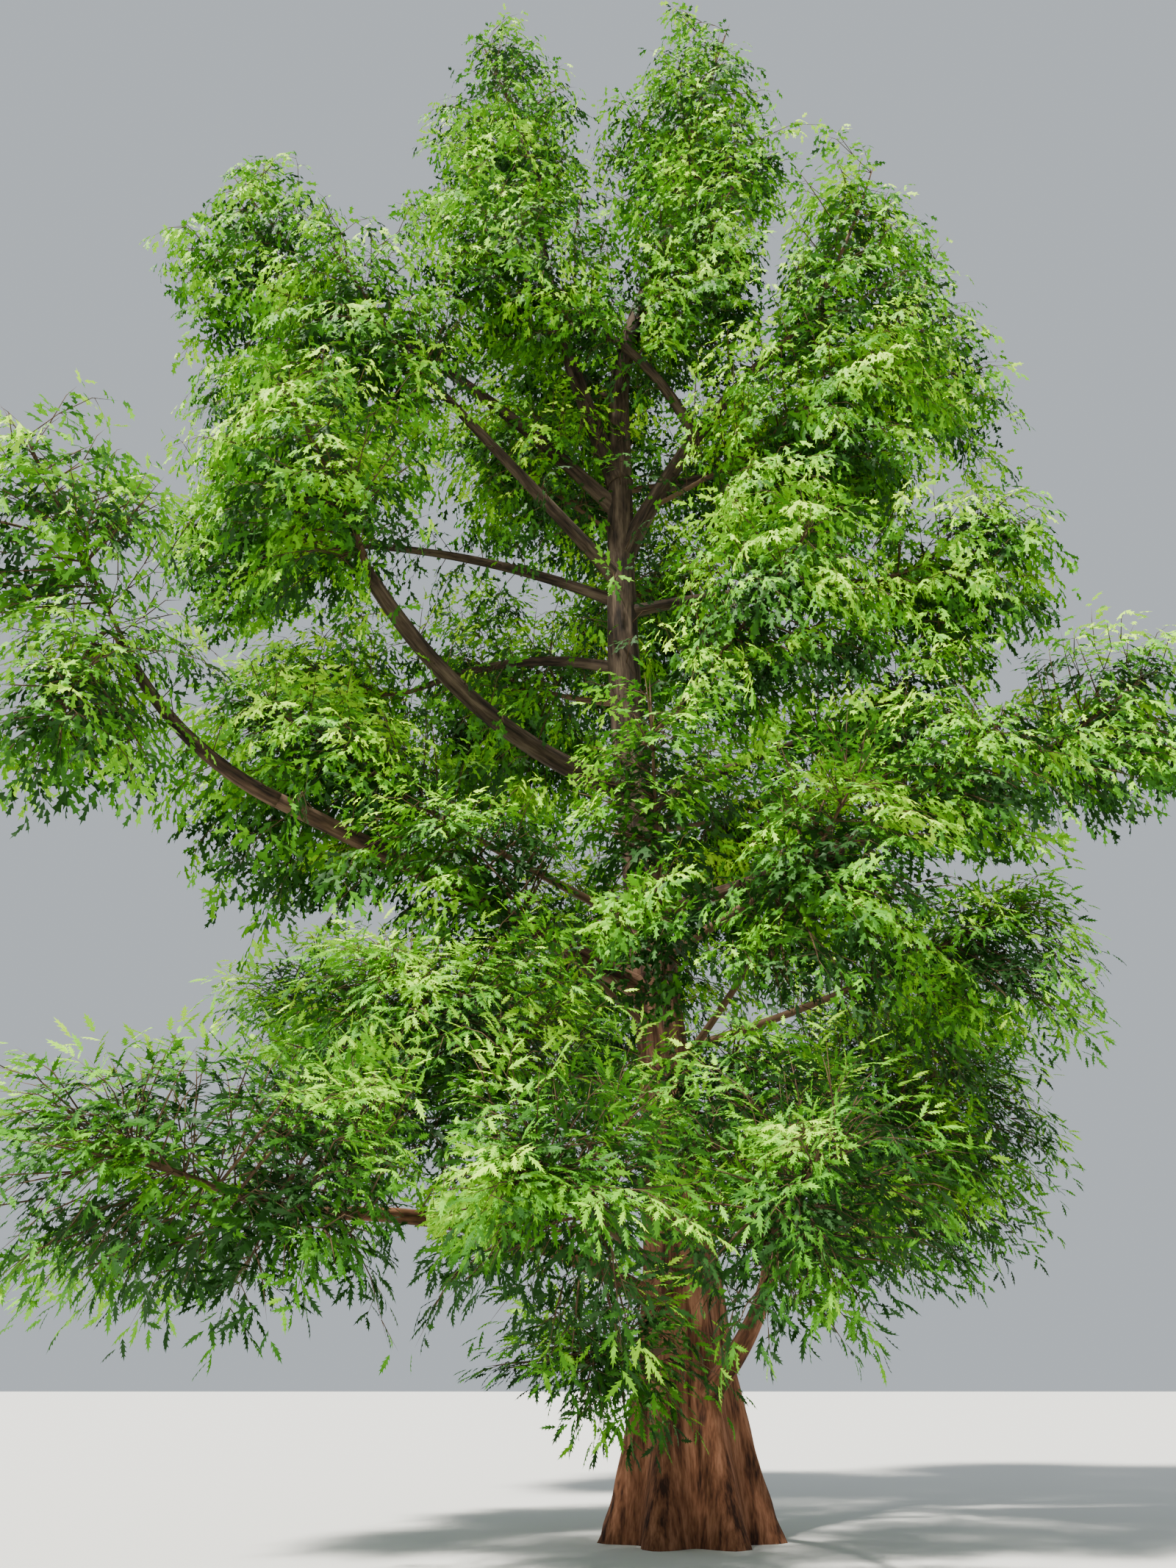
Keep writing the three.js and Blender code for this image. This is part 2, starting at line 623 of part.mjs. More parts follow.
for (const mass of masses.values()) {
  const bearer = limbs.get(mass.from);
  const endShare = goalsOnEnd(bearer).length > 1 ? STEM.ends.shared : STEM.ends.alone;
  const slimRadius = STEM.slimness * bearer.curve.getPoint(0.5).setZ(mass.middle.z).distanceTo(mass.middle);
  const startRadius = mass.leaves === undefined
    ? bearer.radiusAt(1, 0) * endShare
    : Math.max(STEM.thinnest, slimRadius);
  const { parent, start, tangent } = startOf(mass, mass.middle, startRadius);
  const head = mass.middle.clone().sub(start).setZ(0).normalize()
    .multiply(mass.half)
    .multiplyScalar(SPACE.headReach)
    .add(mass.middle);
  head.z += mass.rises * mass.half.z;
  const via = tangent
    ? start.clone().addScaledVector(tangent, 0.6 * start.distanceTo(mass.middle))
    : start.clone().lerp(mass.middle, 0.6);
  mass.stem = {
    parent,
    curve: new THREE.QuadraticBezierCurve3(start, via, head),
    radiusAt: evenTaper(startRadius, STEM.tipRadius),
    sides: 4,
    rows: 3,
  };
}

[...masses.values()].forEach((mass, index, all) => {
  mass.seed = 101 + 37 * index;
  mass.fences = all
    .filter((other) => other !== mass)
    .filter((other) => other.middle.distanceTo(mass.middle) < Math.max(...mass.half) + Math.max(...other.half))
    .map((other) => fenceBetween(mass, other));
  mass.fences.push({ normal: new THREE.Vector3(0, 0, -1), offset: -SPACE.groundGap });
});

function namedMesh(name, solid, color, roughness) {
  const { vertProperties, triVerts } = solid.getMesh();
  const geometry = new THREE.BufferGeometry();
  geometry.setAttribute('position', new THREE.BufferAttribute(vertProperties, 3));
  geometry.setIndex(new THREE.BufferAttribute(triVerts, 1));
  geometry.computeVertexNormals();
  const mesh = new THREE.Mesh(geometry, new THREE.MeshStandardMaterial({ color, roughness }));
  mesh.name = name;
  return mesh;
}

const group = new THREE.Group();
for (const limb of limbs.values()) {
  const rise = Math.min(1, 2 * limb.curve.getPoint(0.5).z / TRUNK.height);
  group.add(namedMesh(limb.name, limbSolid(limb), BARK_LOW.clone().lerp(BARK_HIGH, rise), 0.95));
}
const allPieces = [...limbs.values(), ...[...masses.values()].map(({ stem }) => stem)]
  .flatMap((limb) => straightPieces(limb));
for (const mass of masses.values()) {
  const light = THREE.MathUtils.clamp(mass.middle.z / (30 * M) - mass.middle.y / (12 * M), 0, 1);
  const color = LEAF_SHADE.clone().lerp(LEAF_LIGHT, light);
  group.add(namedMesh(`foliage_${mass.name}`, massSolid(mass, allPieces), color, 0.8));
}

export default group;
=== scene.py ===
# %% [markdown]
# # A dawn redwood
#
# The tree is about 30 m tall. A fluted, flared trunk leans to the left, swings back to the right
# and divides into leaders. Upswept boughs carry masses of foliage almost down to the ground.
# Sizes are in metres. The origin is the middle of the trunk's foot, +X is to the viewer's right,
# +Y leads away from the viewer and +Z is up.
#
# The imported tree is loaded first, because it says how far the crown may reach.

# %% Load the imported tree
import math
from types import SimpleNamespace

import bmesh
import bpy
import numpy as np
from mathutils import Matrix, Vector, noise


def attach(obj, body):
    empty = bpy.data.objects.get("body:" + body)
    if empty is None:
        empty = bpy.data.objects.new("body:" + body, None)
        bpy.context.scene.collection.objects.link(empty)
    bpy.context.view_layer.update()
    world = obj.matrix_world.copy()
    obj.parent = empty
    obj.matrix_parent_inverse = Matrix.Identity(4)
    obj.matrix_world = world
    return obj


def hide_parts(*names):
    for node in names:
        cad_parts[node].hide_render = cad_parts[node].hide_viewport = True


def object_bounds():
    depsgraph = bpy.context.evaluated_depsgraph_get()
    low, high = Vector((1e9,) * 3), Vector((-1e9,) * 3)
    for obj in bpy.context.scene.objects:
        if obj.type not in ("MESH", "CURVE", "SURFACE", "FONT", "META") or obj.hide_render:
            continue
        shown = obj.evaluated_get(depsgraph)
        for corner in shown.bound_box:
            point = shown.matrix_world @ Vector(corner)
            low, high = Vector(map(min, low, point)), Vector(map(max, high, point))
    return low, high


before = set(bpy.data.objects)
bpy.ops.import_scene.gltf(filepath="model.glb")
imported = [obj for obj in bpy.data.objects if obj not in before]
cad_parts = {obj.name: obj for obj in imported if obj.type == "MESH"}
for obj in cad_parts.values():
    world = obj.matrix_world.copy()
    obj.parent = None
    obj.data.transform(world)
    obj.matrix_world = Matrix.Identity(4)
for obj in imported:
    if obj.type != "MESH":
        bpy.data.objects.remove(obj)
cad_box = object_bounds()
print("packed nodes:", len(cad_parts))
print("packed size:", [round(high - low, 2) for low, high in zip(*cad_box)])

# %% [markdown]
# ## Helpers for materials
#
# Colours are read off as sRGB hex values, as a paint chart gives them, while Blender's shaders
# count in linear light. One function turns the first into the second. Another adds a node with
# its settings and links, so that each material below reads as a short list of nodes.


# %% Colours and nodes
def linear(hex_colour):
    """An sRGB hex value such as 'a1b2c3' as a linear colour with alpha."""
    channels = [int(hex_colour[i:i + 2], 16) / 255 for i in (0, 2, 4)]
    return [c / 12.92 if c <= 0.04045 else ((c + 0.055) / 1.055) ** 2.4 for c in channels] + [1.0]


def new_material(name, **sockets):
    """A material whose Principled shader has the given socket values."""
    material = bpy.data.materials.new(name)
    material.use_nodes = True
    shader = material.node_tree.nodes["Principled BSDF"]
    for socket, value in sockets.items():
        shader.inputs[socket.replace("_", " ")].default_value = value
    return material, shader


def add_node(material, kind, settings=None, values=None, links=None):
    """Adds a node: settings are its own properties, values its sockets', links feed its sockets."""
    node = material.node_tree.nodes.new(kind)
    for name, value in (settings or {}).items():
        setattr(node, name, value)
    for socket, value in (values or {}).items():
        node.inputs[socket].default_value = value
    for socket, output in (links or {}).items():
        material.node_tree.links.new(output, node.inputs[socket])
    return node


# %% [markdown]
# ## Bark
#
# Dawn redwood bark is thin and fibrous. It is red-brown at the foot, weathers to grey-brown higher
# up, and splits into long strips with dark furrows between them. Higher up its colours are darker
# than the real grey-brown, as painted shade, since the limbs inside the crown are shaded. Painting
# strips by hand would take a picture. Here noise that is stretched along the limb draws them. Each
# limb's mesh keeps the coordinates of the straight pole that it was bent from, in an attribute
# named grain, so the strips follow every bend. Furrows stand about 60 mm apart and fibres about
# 12 mm.

# %% Make the bark
FURROW_SPACING = 0.06
FIBRE_SPACING = 0.012
FIBRE_SHARE = 0.3
STRETCH_ALONG = 0.12
RED_BELOW = 0.5
GREY_AND_SHADED_ABOVE = 9.0

bark, bark_shader = new_material("fibrous_bark", Roughness=0.92, Specular_IOR_Level=0.2)
grain = add_node(bark, "ShaderNodeAttribute", {"attribute_name": "grain"})
along_grain = add_node(
    bark, "ShaderNodeMapping", values={"Scale": (1, 1, STRETCH_ALONG)},
    links={"Vector": grain.outputs["Vector"]})
furrows = add_node(
    bark, "ShaderNodeTexNoise",
    values={"Scale": 1 / (2 * FURROW_SPACING), "Detail": 4, "Roughness": 0.6},
    links={"Vector": along_grain.outputs["Vector"]})
fibres = add_node(
    bark, "ShaderNodeTexNoise", values={"Scale": 1 / (2 * FIBRE_SPACING), "Detail": 2},
    links={"Vector": along_grain.outputs["Vector"]})
strips = add_node(
    bark, "ShaderNodeMath", {"operation": "MULTIPLY_ADD"}, values={1: FIBRE_SHARE},
    links={0: fibres.outputs["Fac"], 2: furrows.outputs["Fac"]})
place = add_node(bark, "ShaderNodeTexCoord")
height = add_node(bark, "ShaderNodeSeparateXYZ", links={"Vector": place.outputs["Object"]})
red_to_shaded_grey = add_node(
    bark, "ShaderNodeMapRange", values={"From Min": RED_BELOW, "From Max": GREY_AND_SHADED_ABOVE},
    links={"Value": height.outputs["Z"]})


def bark_ramp(dark, middle, light):
    """Dark furrows, middle strips and light ridges, for the strips' value."""
    ramp = add_node(bark, "ShaderNodeValToRGB", links={"Fac": strips.outputs["Value"]})
    stops = ramp.color_ramp.elements
    stops[0].position, stops[0].color = 0.5, linear(dark)
    stops[1].position, stops[1].color = 0.82, linear(light)
    stops.new(0.64).color = linear(middle)
    return ramp


foot_bark = bark_ramp("33211a", "6f4832", "9a6b50")
# The high bark is grey-brown, and made darker still as painted shade on the limbs inside the crown.
shaded_grey_bark = bark_ramp("1c1712", "392e24", "574a3c")
bark_colour = add_node(
    bark, "ShaderNodeMix", {"data_type": "RGBA"},
    links={0: red_to_shaded_grey.outputs["Result"], 6: foot_bark.outputs["Color"], 7: shaded_grey_bark.outputs["Color"]})
bark_bump = add_node(
    bark, "ShaderNodeBump", values={"Strength": 0.7, "Distance": 0.02},
    links={"Height": strips.outputs["Value"]})
bark.node_tree.links.new(bark_colour.outputs[2], bark_shader.inputs["Base Color"])
bark.node_tree.links.new(bark_bump.outputs["Normal"], bark_shader.inputs["Normal"])
print("bark nodes:", len(bark.node_tree.nodes))

# %% [markdown]
# ## Young wood and needles
#
# Twigs are this year's and last year's wood. It hasn't split yet, so it is smooth and brown. The
# needles are soft, thin and matt. On the real tree their green runs from a fresh yellow-green at
# the sunny ends to a deep green inside, partly the needles' own colour and partly sunlight and
# shade. A picture could hold that change, but here six plain greens, lit and shaded copies of one
# green, are dealt out spray by spray as painted light and shade. They give the same dappling and
# stay sharp at any distance.

# %% Make the young wood and the greens
# From painted shade to painted sunlight: lit and shaded copies of one needle green, which also span some of
# the needles' own change from deep to fresh green.
GREENS_SHADE_TO_SUN = ["1c4210", "306414", "4e9018", "70b41a", "94d222", "b8ea34"]

# The young wood's brown is darker than its real colour, as painted shade on the twigs inside the crown.
shaded_young_wood, _ = new_material(
    "shaded_young_wood", Base_Color=linear("57432f"), Roughness=0.8, Specular_IOR_Level=0.25)
needles = [
    new_material(f"needles_{i + 1}", Base_Color=linear(green), Roughness=0.6, Specular_IOR_Level=0.2)[0]
    for i, green in enumerate(GREENS_SHADE_TO_SUN)
]
print("greens, from shade to sun:", GREENS_SHADE_TO_SUN)

# %% [markdown]
# ## The tree's layout
#
# The layout is that of the solid model: a trunk, limbs that leave a stem at a height or go on
# from a limb's end, and masses of foliage that each keep to an egg-shaped space. The same named
# sizes are written here again, in metres, so that leaves and twigs grow on from where the limbs
# are. Places are given as right, away and up, and a space's size as wide, deep and tall.

# %% The trunk and the limbs
GOLDEN_SHARE = 0.618034
GOLDEN_ANGLE = 2 * math.pi * (1 - GOLDEN_SHARE)
CLEARANCE = 0.0003
TRUNK = SimpleNamespace(
    height=23.4, foot_radius=0.38, taper_height=30, taper_power=0.8, flare=0.57, flare_height=1.8,
    flutes=7, flute_depth=0.17, flute_height=2.6, bends=[(-0.62, 2, 13), (1.35, 17.5, 24)])

# A row gives a limb's name, its bearer, the height where it leaves the bearer (None at its end),
# the mass or the place that it goes to, the bow of its middle, and its thickness at both ends.
LIMB_ROWS = [
    ("leader_left", "trunk", 15.6, "top_left", (-0.25, 0.05, 0), (0.34, 0.16)),
    ("leader_right", "trunk", 14.0, "upper_right", (-0.1, 0, 0.3), (0.32, 0.16)),
    ("bough_crossing", "leader_right", 16.4, "shoulder", (0, -0.35, 0.1), (0.2, 0.12)),
    ("bough_upper_left", "trunk", 15.0, (-4.9, -0.4, 18.9), (0, 0, 0.25), (0.26, 0.14)),
    ("bough_crest", "trunk", 13.5, "crest", (0.1, 0, -0.1), (0.26, 0.13)),
    ("bough_left_high", "trunk", 13.1, "left_edge", (0, 0.3, 0.5), (0.2, 0.1)),
    ("bough_left_back", "trunk", 11.8, "left_dark", (0, 0.4, 0.6), (0.2, 0.1)),
    ("bough_bent_lower", "trunk", 9.6, (-4.2, -2.4, 11.7), (-0.2, 0, -0.45), (0.32, 0.22)),
    ("bough_bent_upper", "bough_bent_lower", None, "bend", None, (0.22, 0.13)),
    ("bough_long_inner", "trunk", 6.4, (-5.0, -3.0, 8.0), (0, 0, 0.05), (0.3, 0.2)),
    ("bough_long_outer", "bough_long_inner", None, (-6.9, -3.9, 9.7), None, (0.2, 0.12)),
    ("bough_skirt", "trunk", 2.3, "skirt_left", (0, -0.1, 0.3), (0.24, 0.12)),
    ("bough_right_edge", "leader_right", 15.4, "right_edge", (0, 0.3, -0.3), (0.18, 0.09)),
    ("bough_right_middle", "trunk", 12.9, "right_middle", (0, 0, 0.1), (0.2, 0.1)),
    ("bough_right_inner", "trunk", 9.2, "right_inner", (0, 0, 0.1), (0.2, 0.1)),
    ("bough_right_far", "trunk", 7.6, "right_far", (0, 0, -0.15), (0.24, 0.11)),
    ("bough_right_low", "trunk", 4.3, "right_low_back", (0, 0, 0.1), (0.2, 0.11)),
    ("bough_foot", "trunk", 1.2, "skirt_right", (0.3, 0.2, 0.15), (0.3, 0.12)),
]
LIMBS = [
    SimpleNamespace(name=name, bearer=bearer, leaves=leaves, to=to, bow=bow, thick=thick)
    for name, bearer, leaves, to, bow, thick in LIMB_ROWS]
print("limbs besides the trunk:", len(LIMBS))

# %% The masses of foliage
# A row gives a mass's name, its bearer, the height where its stem leaves the bearer (None at its
# end), how far the stem rises as a share of the space's half height, and the middle and size of
# the space.
MASS_ROWS = [
    ("top_left", "leader_left", None, 0.75, (-2.9, 0.3, 26.6), (3.5, 3.4, 7.8)),
    ("top_right", "trunk", None, 0.75, (1.1, 0.0, 26.2), (3.8, 3.7, 7.9)),
    ("top_middle", "trunk", 19.4, 0.55, (1.0, -0.9, 20.4), (3.7, 3.4, 6.3)),
    ("shoulder", "bough_crossing", None, 0.55, (-2.5, -1.1, 20.1), (4.5, 3.5, 5.4)),
    ("heart_left", "trunk", 14.4, 0.3, (-2.3, 0.9, 16.9), (3.7, 3.2, 3.6)),
    ("upper_left", "bough_upper_left", None, 0.55, (-7.0, -1.6, 20.0), (3.4, 3.4, 4.7)),
    ("upper_back", "bough_upper_left", None, 0.55, (-7.4, 1.6, 18.6), (3.6, 3.6, 4.8)),
    ("crest", "bough_crest", None, 0.55, (-4.9, -2.1, 17.5), (3.3, 3.1, 5.4)),
    ("left_edge", "bough_left_high", None, 0.55, (-7.2, 0.9, 15.4), (3.6, 3.6, 4.2)),
    ("left_dark", "bough_left_back", None, 0.55, (-5.6, 2.4, 12.8), (4.0, 3.5, 3.8)),
    ("bend", "bough_bent_upper", None, 0.55, (-5.0, -3.1, 13.3), (3.2, 3.0, 4.3)),
    ("far_left_top", "bough_long_outer", None, 0.55, (-7.7, -4.6, 11.2), (2.7, 2.6, 3.6)),
    ("far_left_hanging", "bough_long_outer", None, -0.5, (-6.9, -4.4, 8.6), (2.6, 2.4, 3.1)),
    ("left_low", "trunk", 7.4, 0.55, (-4.9, -1.7, 9.1), (3.8, 3.6, 3.6)),
    ("left_bright", "trunk", 5.8, 0.55, (-2.6, -2.4, 7.3), (2.8, 2.6, 1.9)),
    ("left_under", "trunk", 5.0, 0.2, (-4.2, -0.4, 6.0), (3.8, 3.4, 2.4)),
    ("skirt_upper", "trunk", 3.6, 0.55, (-2.7, -3.5, 4.8), (4.3, 3.4, 2.8)),
    ("skirt_left", "bough_skirt", None, 0.1, (-4.2, -6.2, 3.1), (4.2, 3.2, 2.3)),
    ("skirt_front", "trunk", 2.7, 0.1, (-1.4, -5.6, 3.0), (3.2, 3.2, 2.5)),
    ("skirt_right", "bough_foot", None, 0.2, (0.7, -5.0, 3.1), (3.0, 2.9, 2.5)),
    ("foot", "trunk", 2.0, 0, (-1.0, -3.2, 1.8), (2.6, 2.3, 1.5)),
    ("plume", "trunk", 4.2, 0.8, (-0.35, -2.9, 7.4), (2.5, 2.3, 5.2)),
    ("upper_right", "leader_right", None, 0.7, (3.5, -1.0, 20.0), (3.5, 3.6, 7.4)),
    ("right_edge", "bough_right_edge", None, 0.7, (5.7, 1.2, 20.6), (2.6, 2.8, 7.6)),
    ("right_upper", "leader_right", 15.0, 0.55, (2.8, -1.5, 15.6), (3.8, 3.4, 5.2)),
    ("right_middle", "bough_right_middle", None, 0.55, (4.6, -0.9, 13.1), (3.2, 3.4, 4.0)),
    ("right_heart", "trunk", 10.2, 0.55, (1.5, -2.5, 11.2), (3.2, 2.8, 4.2)),
    ("right_inner", "bough_right_inner", None, 0.55, (3.4, -0.7, 10.8), (3.4, 3.3, 3.0)),
    ("right_far", "bough_right_far", None, 0.55, (6.4, -1.1, 10.1), (3.3, 3.1, 3.4)),
    ("right_bough", "trunk", 6.9, 0.55, (3.7, -2.3, 8.7), (3.3, 3.0, 2.7)),
    ("right_front", "trunk", 5.2, 0.55, (1.6, -3.4, 6.8), (3.1, 2.7, 4.0)),
    ("right_low", "trunk", 5.6, 0.55, (3.7, -1.6, 6.3), (3.1, 3.1, 2.9)),
    ("right_low_back", "bough_right_low", None, 0.55, (3.6, 1.2, 4.9), (3.4, 3.1, 3.2)),
    ("skirt_middle", "trunk", 3.0, 0.55, (0.4, -2.7, 4.4), (2.9, 2.6, 2.5)),
]
BACK = SimpleNamespace(
    count=7, lowest=5.6, highest=21.0, first_heading=40, heading_range=105, turn=0.618,
    widest_height=9, widest_reach=4.6, dome_height=17, size=(4.5, 4.3, 5.2), stem_drop=0.16,
    rises=0.55)
SPACE = SimpleNamespace(
    gap=0.024, ground_gap=0.12, entry=0.85, head_reach=0.5, tooth_room=1.1, lookout=3)
STEM = SimpleNamespace(
    slimness=0.015, thinnest=0.048, tip_radius=0.016, alone=0.9, shared=0.48, handle=0.6,
    samples=24, bare_samples=3, covered_end=0.6)


def new_mass(name, bearer, leaves, rises, middle, size):
    return SimpleNamespace(
        name=name, bearer=bearer, leaves=leaves, rises=rises, middle=Vector(middle),
        half=Vector(size) / 2)


masses = {row[0]: new_mass(*row) for row in MASS_ROWS}
for i in range(BACK.count):
    level = BACK.lowest + (BACK.highest - BACK.lowest) * i / (BACK.count - 1)
    heading = math.radians(BACK.first_heading + BACK.heading_range * (i * BACK.turn % 1))
    reach = BACK.widest_reach * math.sqrt(1 - ((level - BACK.widest_height) / BACK.dome_height) ** 2)
    middle = (reach * math.cos(heading), reach * math.sin(heading), level)
    name = f"back_{i + 1}"
    masses[name] = new_mass(
        name, "trunk", level * (1 - BACK.stem_drop), BACK.rises, middle, BACK.size)
print("masses of foliage:", len(masses))

# %% [markdown]
# ## Curves of the limbs
#
# A limb is a curve with a radius all along it. The trunk's curve is upright and shifts sideways
# in two smooth steps. Every other limb is one bent curve with three handles: its start, a middle
# handle that gives it its bow, and its end. Where two stems share a bough's end they start side
# by side.


# %% Curves
def smooth_step(value, low, high):
    share = min(1, max(0, (value - low) / (high - low)))
    return share * share * (3 - 2 * share)


def trunk_curve(t):
    level = t * TRUNK.height
    shift = sum(by * smooth_step(level, low, high) for by, low, high in TRUNK.bends)
    return Vector((shift, 0, level))


def trunk_radius(t, angle):
    level = t * TRUNK.height
    taper = TRUNK.foot_radius * (1 - level / TRUNK.taper_height) ** TRUNK.taper_power
    flare = TRUNK.flare * math.exp(-level / TRUNK.flare_height)
    depth = TRUNK.flute_depth * math.exp(-level / TRUNK.flute_height)
    return (taper + flare) * (1 + depth * math.cos(TRUNK.flutes * angle))


def bent_curve(start, via, end):
    return lambda t: start * (1 - t) ** 2 + via * (2 * t * (1 - t)) + end * t ** 2


def even_taper(first, last):
    return lambda t, angle: first + (last - first) * t


def tangent(limb, t):
    low, high = max(0, t - 1e-4), min(1, t + 1e-4)
    return (limb.curve(high) - limb.curve(low)).normalized()


def point_at_height(limb, level, halvings=40):
    """The point of a limb at some height, found by halving the stretch that holds it."""
    low, high = 0, 1
    for _ in range(halvings):
        middle = (low + high) / 2
        if limb.curve(middle).z < level:
            low = middle
        else:
            high = middle
    return limb.curve(low)


# %% Where limbs start and end
def goal_of(row):
    return masses[row.to].middle if isinstance(row.to, str) else Vector(row.to)


def goals_on_end(name):
    """The goals of all that sets off from a limb's end."""
    limb_goals = [goal_of(row) for row in LIMBS if row.bearer == name and row.leaves is None]
    return limb_goals + [m.middle for m in masses.values() if m.bearer == name and m.leaves is None]


def start_of(bearer, leaves, goal, radius):
    """Where a limb starts and, on a bough's end, the way it sets off."""
    parent = limbs[bearer]
    if leaves is not None:
        return point_at_height(parent, leaves), None
    ahead = tangent(parent, 1)
    start = parent.curve(1) + ahead * CLEARANCE
    goals = goals_on_end(bearer)
    if len(goals) > 1:
        sideways = goal - sum(goals, Vector()) / len(goals)
        sideways -= ahead * sideways.dot(ahead)
        start += sideways.normalized() * (radius + CLEARANCE)
    return start, ahead


def surface_distance(mass, direction):
    return 1 / Vector(d / h for d, h in zip(direction, mass.half)).length


# %% The curves of all limbs
limbs = {"trunk": SimpleNamespace(name="trunk", curve=trunk_curve, radius_at=trunk_radius)}
for row in LIMBS:
    first, last = (thickness / 2 for thickness in row.thick)
    goal = goal_of(row)
    start, ahead = start_of(row.bearer, row.leaves, goal, first)
    end = goal
    if isinstance(row.to, str):
        towards = (goal - start).normalized()
        end = goal - towards * SPACE.entry * surface_distance(masses[row.to], towards)
    if ahead:
        via = start + ahead * (end - start).length / 2
    else:
        via = (start + end) / 2 + Vector(row.bow) * 2
    limbs[row.name] = SimpleNamespace(
        name=row.name, curve=bent_curve(start, via, end), radius_at=even_taper(first, last))
print("limbs:", len(limbs))

# %% The stem of each mass
for mass in masses.values():
    bearer = limbs[mass.bearer]
    if mass.leaves is None:
        share = STEM.shared if len(goals_on_end(mass.bearer)) > 1 else STEM.alone
        first = bearer.radius_at(1, 0) * share
    else:
        beside = bearer.curve(0.5)
        beside.z = mass.middle.z
        first = max(STEM.thinnest, STEM.slimness * (beside - mass.middle).length)
    start, ahead = start_of(mass.bearer, mass.leaves, mass.middle, first)
    flat = mass.middle - start
    flat.z = 0
    flat.normalize()
    head = mass.middle + Vector(f * h for f, h in zip(flat, mass.half)) * SPACE.head_reach
    head.z += mass.rises * mass.half.z
    if ahead:
        via = start + ahead * STEM.handle * (mass.middle - start).length
    else:
        via = start.lerp(mass.middle, STEM.handle)
    mass.stem = SimpleNamespace(
        name=f"stem_{mass.name}", curve=bent_curve(start, via, head),
        radius_at=even_taper(first, STEM.tip_radius))
stem_spans = [(mass.stem.curve(1) - mass.stem.curve(0)).length for mass in masses.values()]
print("longest stem:", round(max(stem_spans), 2))

# %% [markdown]
# ## Limbs with bark relief
#
# The real trunk is fluted at its foot, and its bark stands out in long ridges. A smooth tube with
# a bump texture would give that away at its outline, so the ridges are in the mesh too. A cylinder
# is cut into many rings, and each ring is carried to its place along the limb's curve, at the
# limb's radius there. Noise that changes fast around the limb and slowly along it raises the
# ridges. Boughs swell where they leave the trunk, as a branch collar does.

# %% Shape a limb
RIDGES = SimpleNamespace(depth=0.035, across=9, along=0.9, offset=0)
BULGES = SimpleNamespace(depth=0.035, across=2, along=1.3, offset=7)
COLLAR_SWELL = 0.45


def across_curve(curve):
    """The direction across a curve that lies in one plane."""
    half, whole = curve(0.5) - curve(0), curve(1) - curve(0)
    across = half.cross(whole)
    if across.length < 1e-3 * half.length_squared:
        upright = abs(half.z) > 0.8 * half.length
        across = half.cross(Vector((0, 1, 0) if upright else (0, 0, 1)))
    return across.normalized()


def relief(straight, kind):
    """How far noise raises the bark at a place on the straight pole, as a share of its radius."""
    place = (straight.x * kind.across, straight.y * kind.across, straight.z * kind.along + kind.offset)
    return kind.depth * noise.noise(Vector(place))


def bark_piece(limb, shape):
    """The limb's bark as an object that replaces the limb's solid."""
    mesh = bpy.data.meshes.new(limb.name)
    shape.to_mesh(mesh)
    shape.free()
    mesh.materials.append(bark)
    piece = bpy.data.objects.new(f"bark_{limb.name}", mesh)
    bpy.context.collection.objects.link(piece)
    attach(piece, "root")
    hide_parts(limb.name)
    return piece


def limb_mesh(limb, sides, rows, row_power=1.0, collar=0.0):
    """A closed tube along the limb's curve, with ridges of bark and the grain's coordinates."""
    shape = bmesh.new()
    bmesh.ops.create_cone(
        shape, cap_ends=True, cap_tris=False, segments=sides, radius1=1, radius2=1, depth=1)
    uprights = [e for e in shape.edges if abs(e.verts[0].co.z - e.verts[1].co.z) > 0.5]
    bmesh.ops.subdivide_edges(shape, edges=uprights, cuts=rows - 1)
    grain_layer = shape.verts.layers.float_vector.new("grain")
    across = across_curve(limb.curve)
    length = (limb.curve(1) - limb.curve(0)).length
    base = limb.radius_at(0, 0)
    for vertex in shape.verts:
        t = (vertex.co.z + 0.5) ** row_power
        angle = math.atan2(vertex.co.y, vertex.co.x)
        radius = limb.radius_at(t, angle) * (1 + collar * math.exp(-t * length / (2 * base)))
        straight = Vector((radius * math.cos(angle), radius * math.sin(angle), t * length))
        radius *= 1 + relief(straight, RIDGES) + relief(straight, BULGES)
        upright = across.cross(tangent(limb, t))
        vertex[grain_layer] = straight
        vertex.co = limb.curve(t) + radius * (across * math.cos(angle) + upright * math.sin(angle))
    bmesh.ops.recalc_face_normals(shape, faces=shape.faces)
    for face in shape.faces:
        face.smooth = len(face.verts) == 4
    return bark_piece(limb, shape)


# %% Shape the trunk and every bough
bark_pieces = [limb_mesh(limbs["trunk"], sides=84, rows=150, row_power=1.7)]
for vertex in bark_pieces[0].data.vertices:
    vertex.co.z = max(0, vertex.co.z)
for row in LIMBS:
    collar = 0 if row.leaves is None else COLLAR_SWELL
    bark_pieces.append(limb_mesh(limbs[row.name], sides=20, rows=48, collar=collar))
face_count = sum(len(piece.data.polygons) for piece in bark_pieces)
print("bark pieces:", len(bark_pieces), "with", face_count, "faces")

# %% [markdown]
# ## The space of each mass
#
# Each mass keeps to its own egg-shaped space. Where two spaces would meet, a plane half way
# between them fences each one in, and a last plane keeps everything off the ground. So each bough
# bears its own foliage, and no two masses grow through each other.


# %% Fences and reach
def fence_between(mass, other):
    towards = other.middle - mass.middle
    apart = towards.length
    towards.normalize()
    place = (surface_distance(mass, towards) + apart - surface_distance(other, towards) - SPACE.gap) / 2
    return [*towards, mass.middle.dot(towards) + place]


